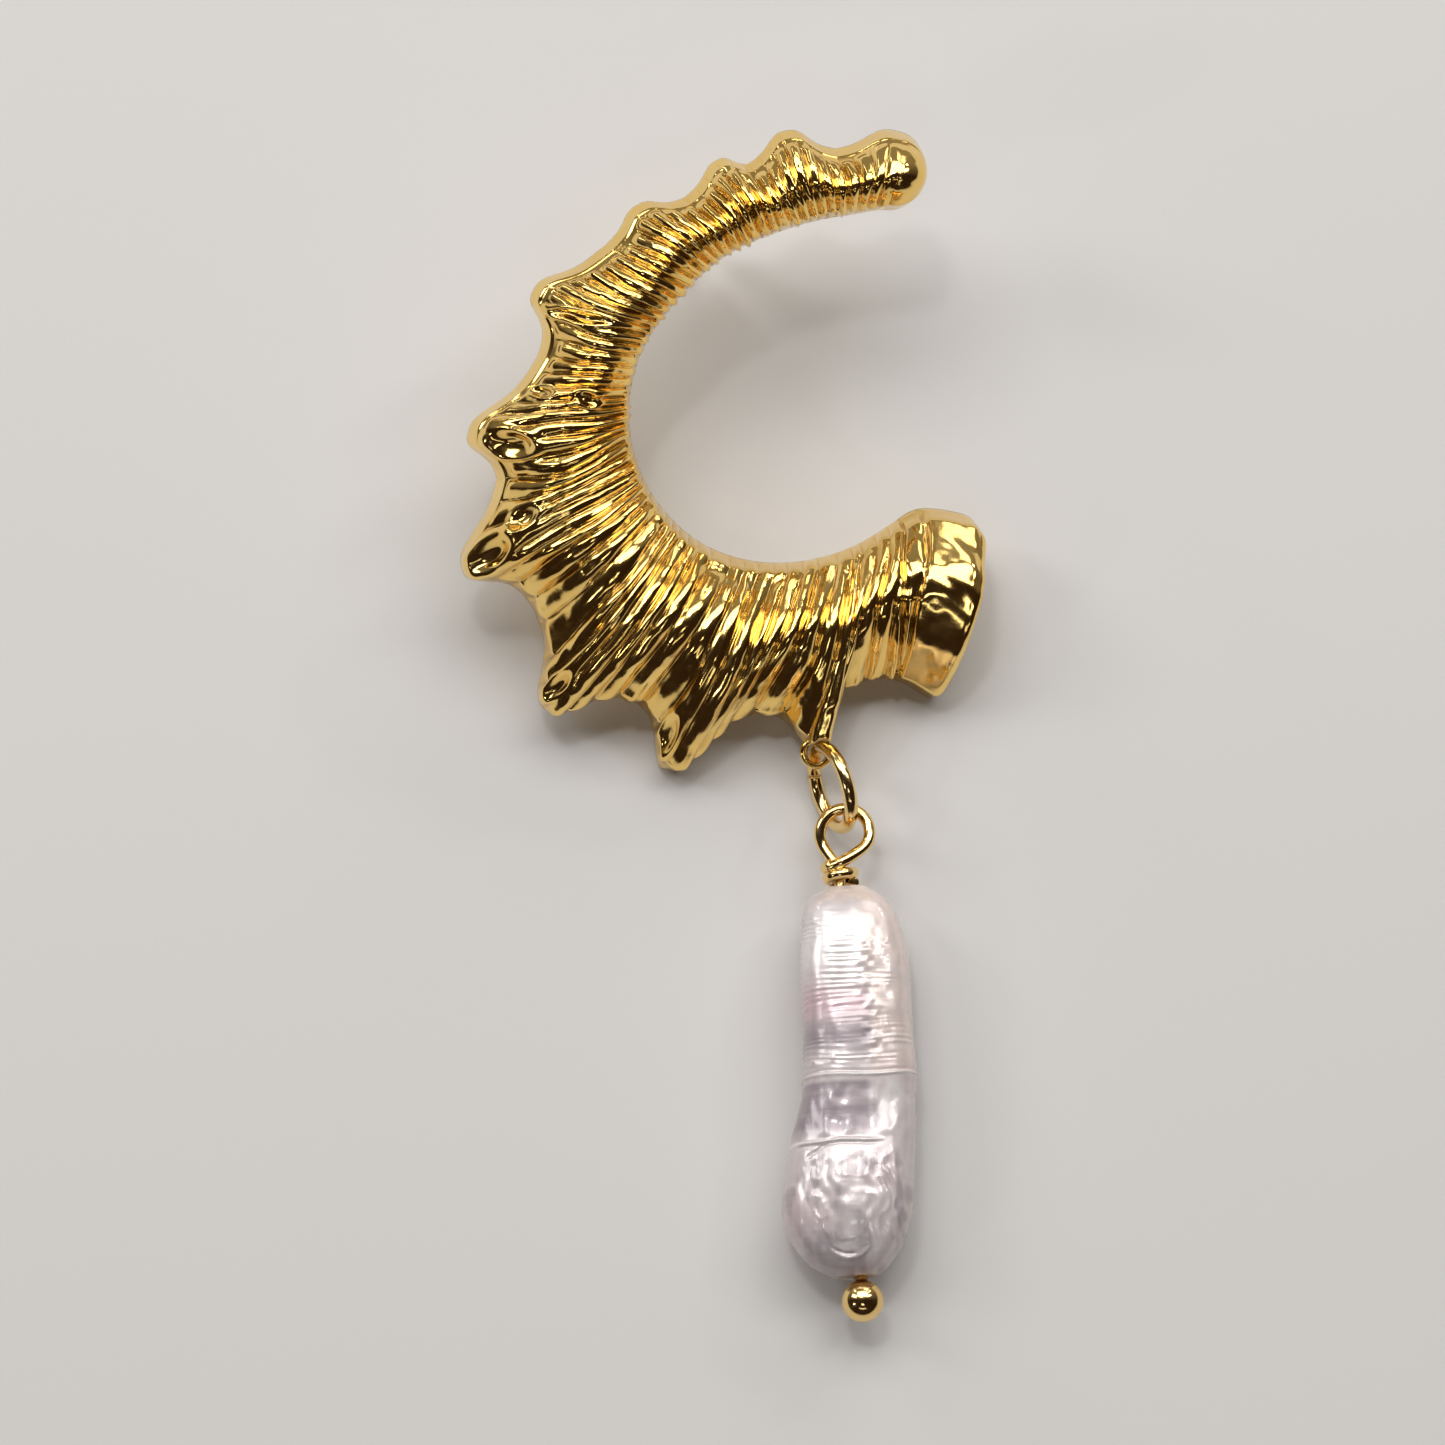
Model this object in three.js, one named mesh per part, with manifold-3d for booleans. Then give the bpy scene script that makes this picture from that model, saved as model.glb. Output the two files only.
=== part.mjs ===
// Pearl drop hoop earring: a cast, ribbed C-shaped hoop with spikes and an ear post,
// a jump ring, a ball-ended head pin and a stick pearl. Millimetres, +Z up, lying down.
import * as THREE from 'three';
import { mergeVertices } from 'three/addons/utils/BufferGeometryUtils.js';
import Module from 'manifold-3d';

const wasm = await Module();
wasm.setup();

const { clamp, degToRad, lerp, smoothstep } = THREE.MathUtils;

// ---- Driving dimensions -------------------------------------------------------------

// The hoop lies in its own x-y plane round the centre of its opening: x towards the
// mouth of the C, y towards the ear, z out of the ribbed front, its flat back at z = 0.
// A bearing is an angle in degrees from +x, and a reach is a distance from the centre.

// One row for each guide line across the band, from the knob round to the flared lip.
// outer, inner: bearings of the line's two ends. base, hole: their reaches, spikes left
// out. crest: height of the dome. shelf, rim: heights of the outer and the inner wall.
const BAND = [
  { outer: 70, inner: 66.0, base: 12.50, hole: 10.00, crest: 3.4, shelf: 1.5, rim: 2.3 },
  { outer: 83, inner: 77.0, base: 12.05, hole: 9.05, crest: 2.9, shelf: 1.3, rim: 2.0 },
  { outer: 105, inner: 97.5, base: 11.45, hole: 8.10, crest: 2.9, shelf: 1.4, rim: 2.0 },
  { outer: 125, inner: 118, base: 11.20, hole: 7.75, crest: 3.0, shelf: 1.4, rim: 2.05 },
  { outer: 146, inner: 141, base: 12.10, hole: 7.60, crest: 3.2, shelf: 1.4, rim: 2.15 },
  { outer: 171, inner: 169, base: 12.85, hole: 8.10, crest: 3.5, shelf: 1.5, rim: 2.3 },
  { outer: 198, inner: 195, base: 15.30, hole: 8.50, crest: 3.9, shelf: 1.6, rim: 2.4 },
  { outer: 222, inner: 219, base: 16.65, hole: 8.65, crest: 4.15, shelf: 1.7, rim: 2.3 },
  { outer: 240, inner: 241, base: 16.90, hole: 8.60, crest: 4.25, shelf: 1.8, rim: 2.1 },
  { outer: 262, inner: 277, base: 15.70, hole: 8.05, crest: 4.2, shelf: 1.8, rim: 2.0 },
  { outer: 275, inner: 292, base: 14.65, hole: 7.87, crest: 4.1, shelf: 1.8, rim: 1.9 },
  { outer: 286, inner: 308, base: 14.35, hole: 7.80, crest: 4.1, shelf: 1.9, rim: 2.0 },
  { outer: 290.5, inner: 318, base: 14.35, hole: 8.20, crest: 4.3, shelf: 2.0, rim: 2.15 },
  { outer: 294, inner: 328.5, base: 14.15, hole: 10.30, crest: 4.5, shelf: 2.1, rim: 2.3 },
];

// One row for each spike. at: bearing. rise: height above the band's outer edge.
// before, after: half widths of its two flanks. tip: thickness at its end.
const SPIKES = [
  { at: 71.5, rise: 1.30, before: 2.4, after: 1.35, tip: 1.9 },
  { at: 94.1, rise: 1.25, before: 1.3, after: 1.10, tip: 1.3 },
  { at: 110.1, rise: 0.90, before: 0.8, after: 1.10, tip: 1.3 },
  { at: 131.2, rise: 0.90, before: 1.0, after: 1.20, tip: 1.3 },
  { at: 159.2, rise: 1.65, before: 1.5, after: 1.20, tip: 1.4 },
  { at: 186.9, rise: 2.05, before: 1.5, after: 1.30, tip: 1.5 },
  { at: 207.9, rise: 2.60, before: 1.8, after: 1.30, tip: 1.6 },
  { at: 231.8, rise: 2.85, before: 1.6, after: 1.50, tip: 1.7 },
  { at: 251.6, rise: 3.10, before: 1.3, after: 1.60, tip: 1.7 },
  { at: 273.6, rise: 2.30, before: 1.3, after: 0.85, tip: 3.2 },
  { at: 296.5, rise: 2.50, before: 1.25, after: 2.0, tip: 1.8 },
];
const FLANK_POWER = 3;
const HANGING_SPIKE = SPIKES[9];
const REST_SPIKES = [SPIKES[8], SPIKES[10]];

// Cross-section of the band.
const BACK_EDGE = 0.30;
const WALL_DRAUGHT = 0.35;
const CREST_PLACE = 0.42;

// Hollow under the hanging spike that leaves room for the jump ring. from, to: distances
// from the outer edge between which it rises to its lift.
const UNDERCUT = { lift: 1.9, from: 3.4, to: 0.6 };

// Ribs pressed into the front: their pitch in degrees, their depth, how far they wander
// and the lengths of the two waves they wander in, and the shares of the front over which
// they fade out. LIP_PLAIN is the plain band at the flared lip, in degrees.
const RIB = { pitch: 5.2, depth: 0.26, wander: 0.35, longWave: 7, shortWave: 3.1 };
const RIB_FADE = { start: 0.02, inside: 0.3, outside: 0.12 };
const LIP_PLAIN = 5;

// Ends of the band.
const KNOB_LENGTH = 1.5;
const KNOB_SWEEP = 75;
const LIP_BULGE = 0.5;
const LIP_BOW = { inner: 1.15, outer: 0.8 };
const LIP_ROUND = 0.35;
const LIP_BLEND = 14;
const LIP_CORNER = 0.75;

// Faceting of the hoop.
const BACK_STEPS = 3;
const WALL_STEPS = 2;
const FRONT_STEPS = 14;
const SIDES = BACK_STEPS + 2 * WALL_STEPS + FRONT_STEPS;
const STATIONS = 196;
const CAP_ROWS = 4;

// Faceting of the round parts. half: facets in half a wire's section.
const POST_SIDES = 14;
const STEM_SIDES = 12;
const HOLE_SIDES = 16;
const BALL_FACETS = { sides: 16, rows: 12 };
const EYE_FACETS = { section: 8, round: 16 };
const RING_FACETS = { steps: 16, half: 3 };
const LOOP_FACETS = { steps: 44, half: 5 };
const WRAP_FACETS = { steps: 22, half: 3 };

// Ear post, soldered square to the back of the upper arm.
const POST = { x: -5.7, y: 7.5, diameter: 0.8, length: 9.2, sunk: 1.2 };

// Eye cast on the hanging spike.
const EYE = { x: 0.94, y: -17.3, z: 2.5, radius: 0.64, wire: 0.38, through: 3 };

// Jump ring: its lean is the bearing of its long way, its roll is measured from flat.
const RING = { radius: 2.0, wire: 0.7, lean: -70, roll: 73, cut: 0.2, cutAt: 232 };
const RING_CLEARANCE = 0.12;

// Head pin: loop, neck with its wraps, stem and ball.
const PIN_WIRE = 0.58;
// The loop turns from its first to its last bearing; rows give the wire's places before
// and after it. The wraps start at a bearing, level with their top.
const PIN_LOOP = { radius: 1.21, side: 0.35, above: 1.91, hang: 0.11, first: 205, last: -35 };
const LOOP_STEPS = 8;
const LOOP_LIFT = 0.32;
const LOOP_START = [{ x: 0, y: -0.6, z: 0 }, { x: -0.02, y: 0.1, z: -0.1 }];
const LOOP_END = [{ x: 0.1, y: 0.35, z: PIN_WIRE }, { x: -0.5, y: 0.15, z: LOOP_LIFT }];
const PIN_WRAPS = { turns: 1.6, pitch: 0.5, radius: 0.62, start: 135, top: 0.25 };
const STEM_TOP = 0.2;
const PIN_HEIGHT = 2.46;
const PIN_BEARING = -87.2;
const BALL_DIAMETER = 2.05;
const LINK_GAP = 0.13;

// Stick pearl: one row for each cross-section, counted down from its top.
// left, right: half widths about the stem. up, down: thickness above and below it.
const PEARL = [
  { along: 0.0, left: 0.8, right: 1.3, up: 0.8, down: 0.9 },
  { along: 0.5, left: 1.5, right: 1.95, up: 1.35, down: 1.4 },
  { along: 1.2, left: 1.9, right: 2.5, up: 1.75, down: 1.9 },
  { along: 2.4, left: 2.05, right: 2.9, up: 2.0, down: 2.3 },
  { along: 4.2, left: 2.15, right: 3.15, up: 2.15, down: 2.5 },
  { along: 6.4, left: 2.15, right: 3.12, up: 2.2, down: 2.5 },
  { along: 9.3, left: 2.25, right: 3.2, up: 2.2, down: 2.45 },
  { along: 10.6, left: 2.5, right: 3.1, up: 2.15, down: 2.45 },
  { along: 12.4, left: 3.1, right: 3.0, up: 2.2, down: 2.5 },
  { along: 15.0, left: 3.55, right: 2.75, up: 2.3, down: 2.5 },
  { along: 16.6, left: 3.55, right: 2.5, up: 2.2, down: 2.3 },
  { along: 17.9, left: 2.9, right: 2.0, up: 1.75, down: 1.8 },
  { along: 18.7, left: 2.1, right: 1.35, up: 1.25, down: 1.3 },
  { along: 19.1, left: 1.3, right: 0.85, up: 0.85, down: 0.9 },
];
const PEARL_BORE = 0.95;
const BORE_OVERRUN = 1;
const PEARL_SIDES = 16;
const PEARL_ROWS = 30;
const PEARL_FLATNESS = 2.4;
const PEARL_SEAT = 0.15;
const PEARL_TOP = -0.85;
const PEARL_LENGTH = PEARL.at(-1).along;
const BALL_PLACE = PEARL_TOP - PEARL_LENGTH - PEARL_SEAT - BALL_DIAMETER / 2;

const GOLD = { color: 0xd9a93a, roughness: 0.16, metalness: 1 };
const WIRE_GOLD = { color: 0xd6a038, roughness: 0.2, metalness: 1 };
const NACRE = { color: 0xe6dcd8, roughness: 0.28, metalness: 0 };

// ---- Tables and small shapes ---------------------------------------------------------

// Value of a column where the key column equals `at`, on a smooth curve through the rows.
function smooth(rows, key, at, column) {
  const last = rows.length - 1;
  let i = 0;
  while (i < last - 1 && at > rows[i + 1][key]) i += 1;
  const slope = (a, b) => (rows[b][column] - rows[a][column]) / (rows[b][key] - rows[a][key]);
  const span = rows[i + 1][key] - rows[i][key];
  const t = clamp((at - rows[i][key]) / span, 0, 1);
  const leaving = slope(Math.max(i - 1, 0), i + 1) * span;
  const arriving = slope(i, Math.min(i + 2, last)) * span;
  const ease = t * t * (3 - 2 * t);
  const bend = t * (1 - t) * ((1 - t) * leaving - t * arriving);
  return lerp(rows[i][column], rows[i + 1][column], ease) + bend;
}

function polar(bearing, reach) {
  const angle = degToRad(bearing);
  return new THREE.Vector2(Math.cos(angle) * reach, Math.sin(angle) * reach);
}

function solidOf(geometry, matrix) {
  const bare = geometry.clone().applyMatrix4(matrix);
  bare.deleteAttribute('normal');
  bare.deleteAttribute('uv');
  const merged = mergeVertices(bare, 1e-5);
  const vertProperties = new Float32Array(merged.attributes.position.array);
  const triVerts = new Uint32Array(merged.index.array);
  return new wasm.Manifold(new wasm.Mesh({ numProp: 3, vertProperties, triVerts }));
}

function geometryOf(solid) {
  const mesh = solid.getMesh();
  const geometry = new THREE.BufferGeometry();
  geometry.setAttribute('position', new THREE.BufferAttribute(mesh.vertProperties, 3));
  geometry.setIndex(new THREE.BufferAttribute(mesh.triVerts, 1));
  geometry.computeVertexNormals();
  return geometry;
}

function piece(name, geometry, finish) {
  const mesh = new THREE.Mesh(geometry, new THREE.MeshStandardMaterial(finish));
  mesh.name = name;
  return mesh;
}

// A wire bent along a curve, as a closed tube.
function wireAlong(curve, diameter, steps, sides) {
  const section = new THREE.Shape();
  section.absarc(0, 0, diameter / 2, 0, 2 * Math.PI);
  const settings = { extrudePath: curve, steps, curveSegments: sides, bevelEnabled: false };
  return new THREE.ExtrudeGeometry(section, settings);
}

class Arc extends THREE.Curve {
  constructor(radius, from, to) {
    super();
    this.radius = radius;
    this.from = from;
    this.to = to;
  }

  getPoint(t, target = new THREE.Vector3()) {
    const angle = lerp(this.from, this.to, t);
    return target.set(Math.cos(angle) * this.radius, Math.sin(angle) * this.radius, 0);
  }
}

// ---- Hoop ----------------------------------------------------------------------------

// Share of a spike's height at a bearing: one at its middle, falling away on each side.
function spikeShare(spike, bearing) {
  const reach = smooth(BAND, 'outer', spike.at, 'base') + spike.rise;
  const away = degToRad(bearing - spike.at) * reach;
  const width = away < 0 ? spike.before : spike.after;
  return 1 / (1 + Math.abs(away / width) ** FLANK_POWER);
}

function outerReach(bearing) {
  const base = smooth(BAND, 'outer', bearing, 'base');
  const rises = SPIKES.map((spike) => spike.rise * spikeShare(spike, bearing));
  return base + Math.max(...rises);
}

function innerPoint(bearing) {
  const inner = smooth(BAND, 'outer', bearing, 'inner');
  return polar(inner, smooth(BAND, 'inner', inner, 'hole'));
}

function outerPoint(bearing) {
  return polar(bearing, outerReach(bearing));
}

// Depth of the ribbing at a bearing, from 0 on a rib's back to 1 in a groove.
function ribGroove(bearing) {
  const waves = Math.sin(bearing / RIB.longWave) + Math.sin(bearing / RIB.shortWave + 1);
  const wave = Math.cos((2 * Math.PI * bearing) / RIB.pitch + 2 * RIB.wander * waves);
  return 1 - Math.sqrt(Math.abs(wave));
}

// Height of the front at a fraction of the way from the inner to the outer wall.
function frontHeight(bearing, across) {
  const crest = smooth(BAND, 'outer', bearing, 'crest');
  const rim = smooth(BAND, 'outer', bearing, 'rim');
  const shelf = smooth(BAND, 'outer', bearing, 'shelf');
  const tips = SPIKES.map((spike) => (spike.tip - shelf) * spikeShare(spike, bearing));
  const edge = shelf + tips.reduce((sum, value) => sum + value, 0);
  const inside = across < CREST_PLACE;
  const foot = inside ? rim : edge;
  const turn = inside ? 1 - across / CREST_PLACE : (across - CREST_PLACE) / (1 - CREST_PLACE);
  const dome = foot + (crest - foot) * Math.cos((turn * Math.PI) / 2);
  const lipEnd = BAND.at(-1).outer;
  const plain = smoothstep(lipEnd - bearing, LIP_PLAIN / 2, LIP_PLAIN);
  const inward = smoothstep(across, RIB_FADE.start, RIB_FADE.inside);
  const fade = inward * smoothstep(1 - across, 0, RIB_FADE.outside);
  return dome - RIB.depth * ribGroove(bearing) * plain * fade;
}

// Place on the band's cross-section, as the distance x from the inner edge and height z.
function sectionPoint(bearing, width, step) {
  const lift = UNDERCUT.lift * spikeShare(HANGING_SPIKE, bearing) ** 2;
  const underside = (x) => lift * smoothstep(x, width - UNDERCUT.from, width - UNDERCUT.to);
  if (step <= BACK_STEPS) {
    const x = lerp(width - BACK_EDGE, BACK_EDGE, step / BACK_STEPS);
    return { x, z: underside(x) };
  }
  if (step < BACK_STEPS + WALL_STEPS) {
    return { x: 0, z: BACK_EDGE };
  }
  const front = step - BACK_STEPS - WALL_STEPS;
  if (front <= FRONT_STEPS) {
    const across = (1 - Math.cos((front / FRONT_STEPS) * Math.PI)) / 2;
    const even = lerp(front / FRONT_STEPS, across, 0.5);
    const x = lerp(WALL_DRAUGHT, width - WALL_DRAUGHT, even);
    return { x, z: frontHeight(bearing, even) };
  }
  return { x: width, z: BACK_EDGE + underside(width) };
}

// How far the lip's inner corner is rounded off in plan, close to the band's end.
function cornerInset(bearing) {
  const away = degToRad(BAND.at(-1).outer - bearing) * BAND.at(-1).base;
  const short = Math.max(LIP_CORNER - away, 0);
  return LIP_CORNER - Math.sqrt(LIP_CORNER ** 2 - short ** 2);
}

// How a row of the hoop is closed in towards its end: the knob as half an egg, the lip
// with a small rounding.
function endOf(row, width) {
  const knobRow = CAP_ROWS - row;
  const lipRow = row - CAP_ROWS - STATIONS;
  if (knobRow > 0) {
    const sweep = degToRad((KNOB_SWEEP * knobRow) / CAP_ROWS);
    return { shrink: Math.cos(sweep), advance: -KNOB_LENGTH * Math.sin(sweep) };
  }
  if (lipRow > 0) {
    const sweep = degToRad((90 * lipRow) / CAP_ROWS);
    const inset = LIP_ROUND * (1 - Math.cos(sweep));
    return { shrink: 1 - (4 * inset) / width, advance: LIP_ROUND * Math.sin(sweep) };
  }
  return { shrink: 1, advance: 0 };
}

function hoopPoint(row, step, centred) {
  const station = clamp((row - CAP_ROWS) / STATIONS, 0, 1);
  const bearing = lerp(BAND[0].outer, BAND.at(-1).outer, station);
  const inner = innerPoint(bearing);
  const span = outerPoint(bearing).sub(inner);
  const width = span.length();
  const across = span.clone().normalize();
  const along = new THREE.Vector2(-across.y, across.x);
  const middle = { x: width / 2, z: smooth(BAND, 'outer', bearing, 'crest') / 2 };
  const place = centred ? middle : sectionPoint(bearing, width, step);
  const end = endOf(row, width);
  const inset = cornerInset(bearing);
  const x = inset + (lerp(middle.x, place.x, end.shrink) * (width - inset)) / width;
  const z = lerp(middle.z, place.z, end.shrink);
  const lipShare = smoothstep(bearing, BAND.at(-1).outer - LIP_BLEND, BAND.at(-1).outer);
  const share = clamp(place.x / width, 0, 1);
  const bow = Math.sqrt(4 * share * (1 - share)) * lerp(LIP_BOW.inner, LIP_BOW.outer, share);
  const bulge = LIP_BULGE * lipShare ** 2 * bow;
  const plan = inner.addScaledVector(across, x).addScaledVector(along, end.advance + bulge);
  return new THREE.Vector3(plan.x, plan.y, z);
}

// A closed cylinder whose turns become the cross-section and whose length the band.
function castBand() {
  const rows = STATIONS + 2 * CAP_ROWS;
  const geometry = new THREE.CylinderGeometry(1, 1, 1, SIDES, rows);
  const places = geometry.attributes.position;
  const vertex = new THREE.Vector3();
  for (let i = 0; i < places.count; i += 1) {
    vertex.fromBufferAttribute(places, i);
    const row = Math.round((0.5 - vertex.y) * rows);
    const turn = Math.atan2(-vertex.x, vertex.z) / (2 * Math.PI);
    const step = (Math.round(turn * SIDES) + SIDES) % SIDES;
    const centred = Math.hypot(vertex.x, vertex.z) < 0.5;
    places.setXYZ(i, ...hoopPoint(row, step, centred));
  }
  return geometry;
}

function earPost() {
  const radius = POST.diameter / 2;
  const length = POST.length + POST.sunk;
  const geometry = new THREE.CylinderGeometry(radius, radius, length, POST_SIDES);
  geometry.rotateX(Math.PI / 2);
  return geometry.translate(POST.x, POST.y, (POST.sunk - POST.length) / 2);
}

function castEye() {
  const { section, round } = EYE_FACETS;
  const geometry = new THREE.TorusGeometry(EYE.radius, EYE.wire / 2, section, round);
  return geometry.translate(EYE.x, EYE.y, EYE.z);
}

function eyeHole() {
  const clear = EYE.radius - EYE.wire / 2;
  const geometry = new THREE.CylinderGeometry(clear, clear, EYE.through, HOLE_SIDES);
  return geometry.rotateX(Math.PI / 2).translate(EYE.x, EYE.y, EYE.z);
}

// Turn that lays the hoop on the post's end and the backs of two spikes.
function hoopAtRest() {
  const [first, second] = REST_SPIKES.map((spike) => {
    const bearing = Math.min(spike.at, BAND.at(-1).outer);
    const plan = polar(bearing, outerReach(bearing) - BACK_EDGE);
    return new THREE.Vector3(plan.x, plan.y, 0);
  });
  const side = second.clone().sub(first).normalize();
  const third = new THREE.Vector3(POST.x, POST.y, 0);
  const inward = first.clone().sub(third).projectOnPlane(side).normalize();
  third.addScaledVector(inward, POST.diameter / 2).setZ(-POST.length);
  const up = second.clone().sub(first).cross(third.clone().sub(first)).normalize();
  const turn = new THREE.Quaternion().setFromUnitVectors(up, new THREE.Vector3(0, 0, 1));
  const floor = first.clone().applyQuaternion(turn).z;
  const drop = new THREE.Vector3(0, 0, -floor);
  return new THREE.Matrix4().compose(drop, turn, new THREE.Vector3(1, 1, 1));
}

// ---- Jump ring -----------------------------------------------------------------------

// Frame of the ring: x along its lean, y up its roll, standing on the floor.
function ringPlace(eye) {
  const lean = degToRad(RING.lean);
  const roll = degToRad(RING.roll);
  const along = new THREE.Vector3(Math.cos(lean), Math.sin(lean), 0);
  const level = new THREE.Vector3(-Math.sin(lean), Math.cos(lean), 0);
  const rising = level.multiplyScalar(Math.cos(roll)).setZ(Math.sin(roll));
  const height = RING.radius * Math.sin(roll) + RING.wire / 2;
  const sunk = (eye.z - height) / Math.sin(roll);
  const reach = Math.sqrt(RING.radius ** 2 - sunk ** 2);
  const centre = eye.clone().addScaledVector(along, reach).addScaledVector(rising, -sunk);
  const facing = along.clone().cross(rising);
  return new THREE.Matrix4().makeBasis(along, rising, facing).setPosition(centre);
}

function jumpRing(wire) {
  const gap = RING.cut / RING.radius / 2;
  const start = degToRad(RING.cutAt);
  const curve = new Arc(RING.radius, start + gap, start + 2 * Math.PI - gap);
  return wireAlong(curve, wire, RING_FACETS.steps, RING_FACETS.half);
}

// ---- Head pin ------------------------------------------------------------------------

// The pin's frame: y up its stem, the neck's middle at the origin, z out of the front.
function pinLoop() {
  const { radius, side, above, first, last } = PIN_LOOP;
  const round = [];
  for (let step = 0; step <= LOOP_STEPS; step += 1) {
    const share = step / LOOP_STEPS;
    const { x, y } = polar(lerp(first, last, share), radius);
    round.push({ x: side + x, y: above + y, z: lerp(LOOP_LIFT, -LOOP_LIFT, 1 - share) });
  }
  const places = [...LOOP_START, ...round, ...LOOP_END];
  const points = places.map(({ x, y, z }) => new THREE.Vector3(x, y, z));
  const curve = new THREE.CatmullRomCurve3(points);
  return wireAlong(curve, PIN_WIRE, LOOP_FACETS.steps, LOOP_FACETS.half);
}

class Wrap extends THREE.Curve {
  getPoint(t, target = new THREE.Vector3()) {
    const turned = t * PIN_WRAPS.turns;
    const { x, y } = polar(PIN_WRAPS.start + 360 * turned, PIN_WRAPS.radius);
    return target.set(x, PIN_WRAPS.top - turned * PIN_WRAPS.pitch, y);
  }
}

function pinStem() {
  const radius = PIN_WIRE / 2;
  const length = STEM_TOP - BALL_PLACE;
  const geometry = new THREE.CylinderGeometry(radius, radius, length, STEM_SIDES);
  return geometry.translate(0, STEM_TOP - length / 2, 0);
}

function pinBall() {
  const { sides, rows } = BALL_FACETS;
  const geometry = new THREE.SphereGeometry(BALL_DIAMETER / 2, sides, rows);
  return geometry.translate(0, BALL_PLACE, 0);
}

// ---- Stick pearl ---------------------------------------------------------------------

// Outline of the pearl's section at a turn: a squared oval, wider on one side.
function pearlPoint(along, turn) {
  const round = (value) => Math.sign(value) * Math.abs(value) ** (2 / PEARL_FLATNESS);
  const sideways = round(Math.cos(turn));
  const upward = round(Math.sin(turn));
  const half = smooth(PEARL, 'along', along, sideways < 0 ? 'left' : 'right');
  const thick = smooth(PEARL, 'along', along, upward < 0 ? 'down' : 'up');
  return new THREE.Vector3(sideways * half, PEARL_TOP - along, upward * thick);
}

function pearlBody() {
  const geometry = new THREE.CylinderGeometry(1, 1, 1, PEARL_SIDES, PEARL_ROWS);
  const places = geometry.attributes.position;
  const vertex = new THREE.Vector3();
  for (let i = 0; i < places.count; i += 1) {
    vertex.fromBufferAttribute(places, i);
    const share = 0.5 - vertex.y;
    const even = (1 - Math.cos(share * Math.PI)) / 2;
    const along = PEARL_LENGTH * lerp(share, even, 0.6);
    const turn = Math.atan2(vertex.z, vertex.x);
    const centred = Math.hypot(vertex.x, vertex.z) < 0.5;
    const place = pearlPoint(along, turn);
    if (centred) place.set(0, place.y, 0);
    places.setXYZ(i, ...place);
  }
  return geometry;
}

function pearlBore() {
  const length = PEARL_LENGTH + 2 * BORE_OVERRUN;
  const radius = PEARL_BORE / 2;
  const geometry = new THREE.CylinderGeometry(radius, radius, length, STEM_SIDES);
  return geometry.translate(0, PEARL_TOP - PEARL_LENGTH / 2, 0);
}

// Place of the pin: its loop hooked round the far end of the jump ring.
function pinPlace(ringMatrix) {
  const bearing = degToRad(PIN_BEARING);
  const down = new THREE.Vector3(Math.cos(bearing), Math.sin(bearing), 0);
  const right = new THREE.Vector3(-down.y, down.x, 0);
  const far = new THREE.Vector3(RING.radius, 0, 0).applyMatrix4(ringMatrix);
  const hook = (RING.wire + PIN_WIRE) / 2 + LINK_GAP;
  const top = PIN_LOOP.above + PIN_LOOP.radius - hook;
  const across = -PIN_LOOP.side - PIN_LOOP.hang;
  const origin = far.addScaledVector(down, top).addScaledVector(right, across);
  origin.setZ(PIN_HEIGHT);
  const up = down.clone().negate();
  return new THREE.Matrix4().makeBasis(right, up, right.clone().cross(up)).setPosition(origin);
}

// ---- Assembly ------------------------------------------------------------------------

function makeHoop(rest, ringMatrix) {
  const cast = solidOf(castBand(), rest);
  const eye = solidOf(castEye(), rest);
  const hole = solidOf(eyeHole(), rest);
  const post = solidOf(earPost(), rest);
  const channel = solidOf(jumpRing(RING.wire + 2 * RING_CLEARANCE), ringMatrix);
  const body = cast.subtract(hole).add(eye).add(post).subtract(channel);
  return piece('hoop', geometryOf(body), GOLD);
}

function makeRing(ringMatrix) {
  return piece('jump_ring', geometryOf(solidOf(jumpRing(RING.wire), ringMatrix)), WIRE_GOLD);
}

function makePin(pinMatrix) {
  const wraps = wireAlong(new Wrap(), PIN_WIRE, WRAP_FACETS.steps, WRAP_FACETS.half);
  const parts = [pinStem(), pinLoop(), wraps, pinBall()];
  const solids = parts.map((part) => solidOf(part, pinMatrix));
  const body = solids.reduce((whole, part) => whole.add(part));
  return piece('head_pin', geometryOf(body), WIRE_GOLD);
}

function makePearl(pinMatrix) {
  const body = solidOf(pearlBody(), pinMatrix).subtract(solidOf(pearlBore(), pinMatrix));
  return piece('pearl', geometryOf(body), NACRE);
}

function makeEarring() {
  const rest = hoopAtRest();
  const eye = new THREE.Vector3(EYE.x, EYE.y, EYE.z).applyMatrix4(rest);
  const ringMatrix = ringPlace(eye);
  const pinMatrix = pinPlace(ringMatrix);
  const earring = new THREE.Group();
  earring.add(makeHoop(rest, ringMatrix));
  earring.add(makeRing(ringMatrix));
  earring.add(makePin(pinMatrix));
  earring.add(makePearl(pinMatrix));
  const box = new THREE.Box3().setFromObject(earring);
  const centre = box.getCenter(new THREE.Vector3());
  earring.position.set(-centre.x, -centre.y, -box.min.z);
  return earring;
}

export default makeEarring();
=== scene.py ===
"""Pearl drop hoop earring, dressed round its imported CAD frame.

Shapes are worked out in millimetres, each in its own frame as in the part's source, and
moved to where the CAD pieces are. The hoop has its ribs, pits and hammered ends in its
mesh, and the pearl its growth rings, creases and wrinkles.
"""
import math
from functools import partial
from types import SimpleNamespace as Named

import bpy
import numpy as np
from mathutils import Matrix, Vector


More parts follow.
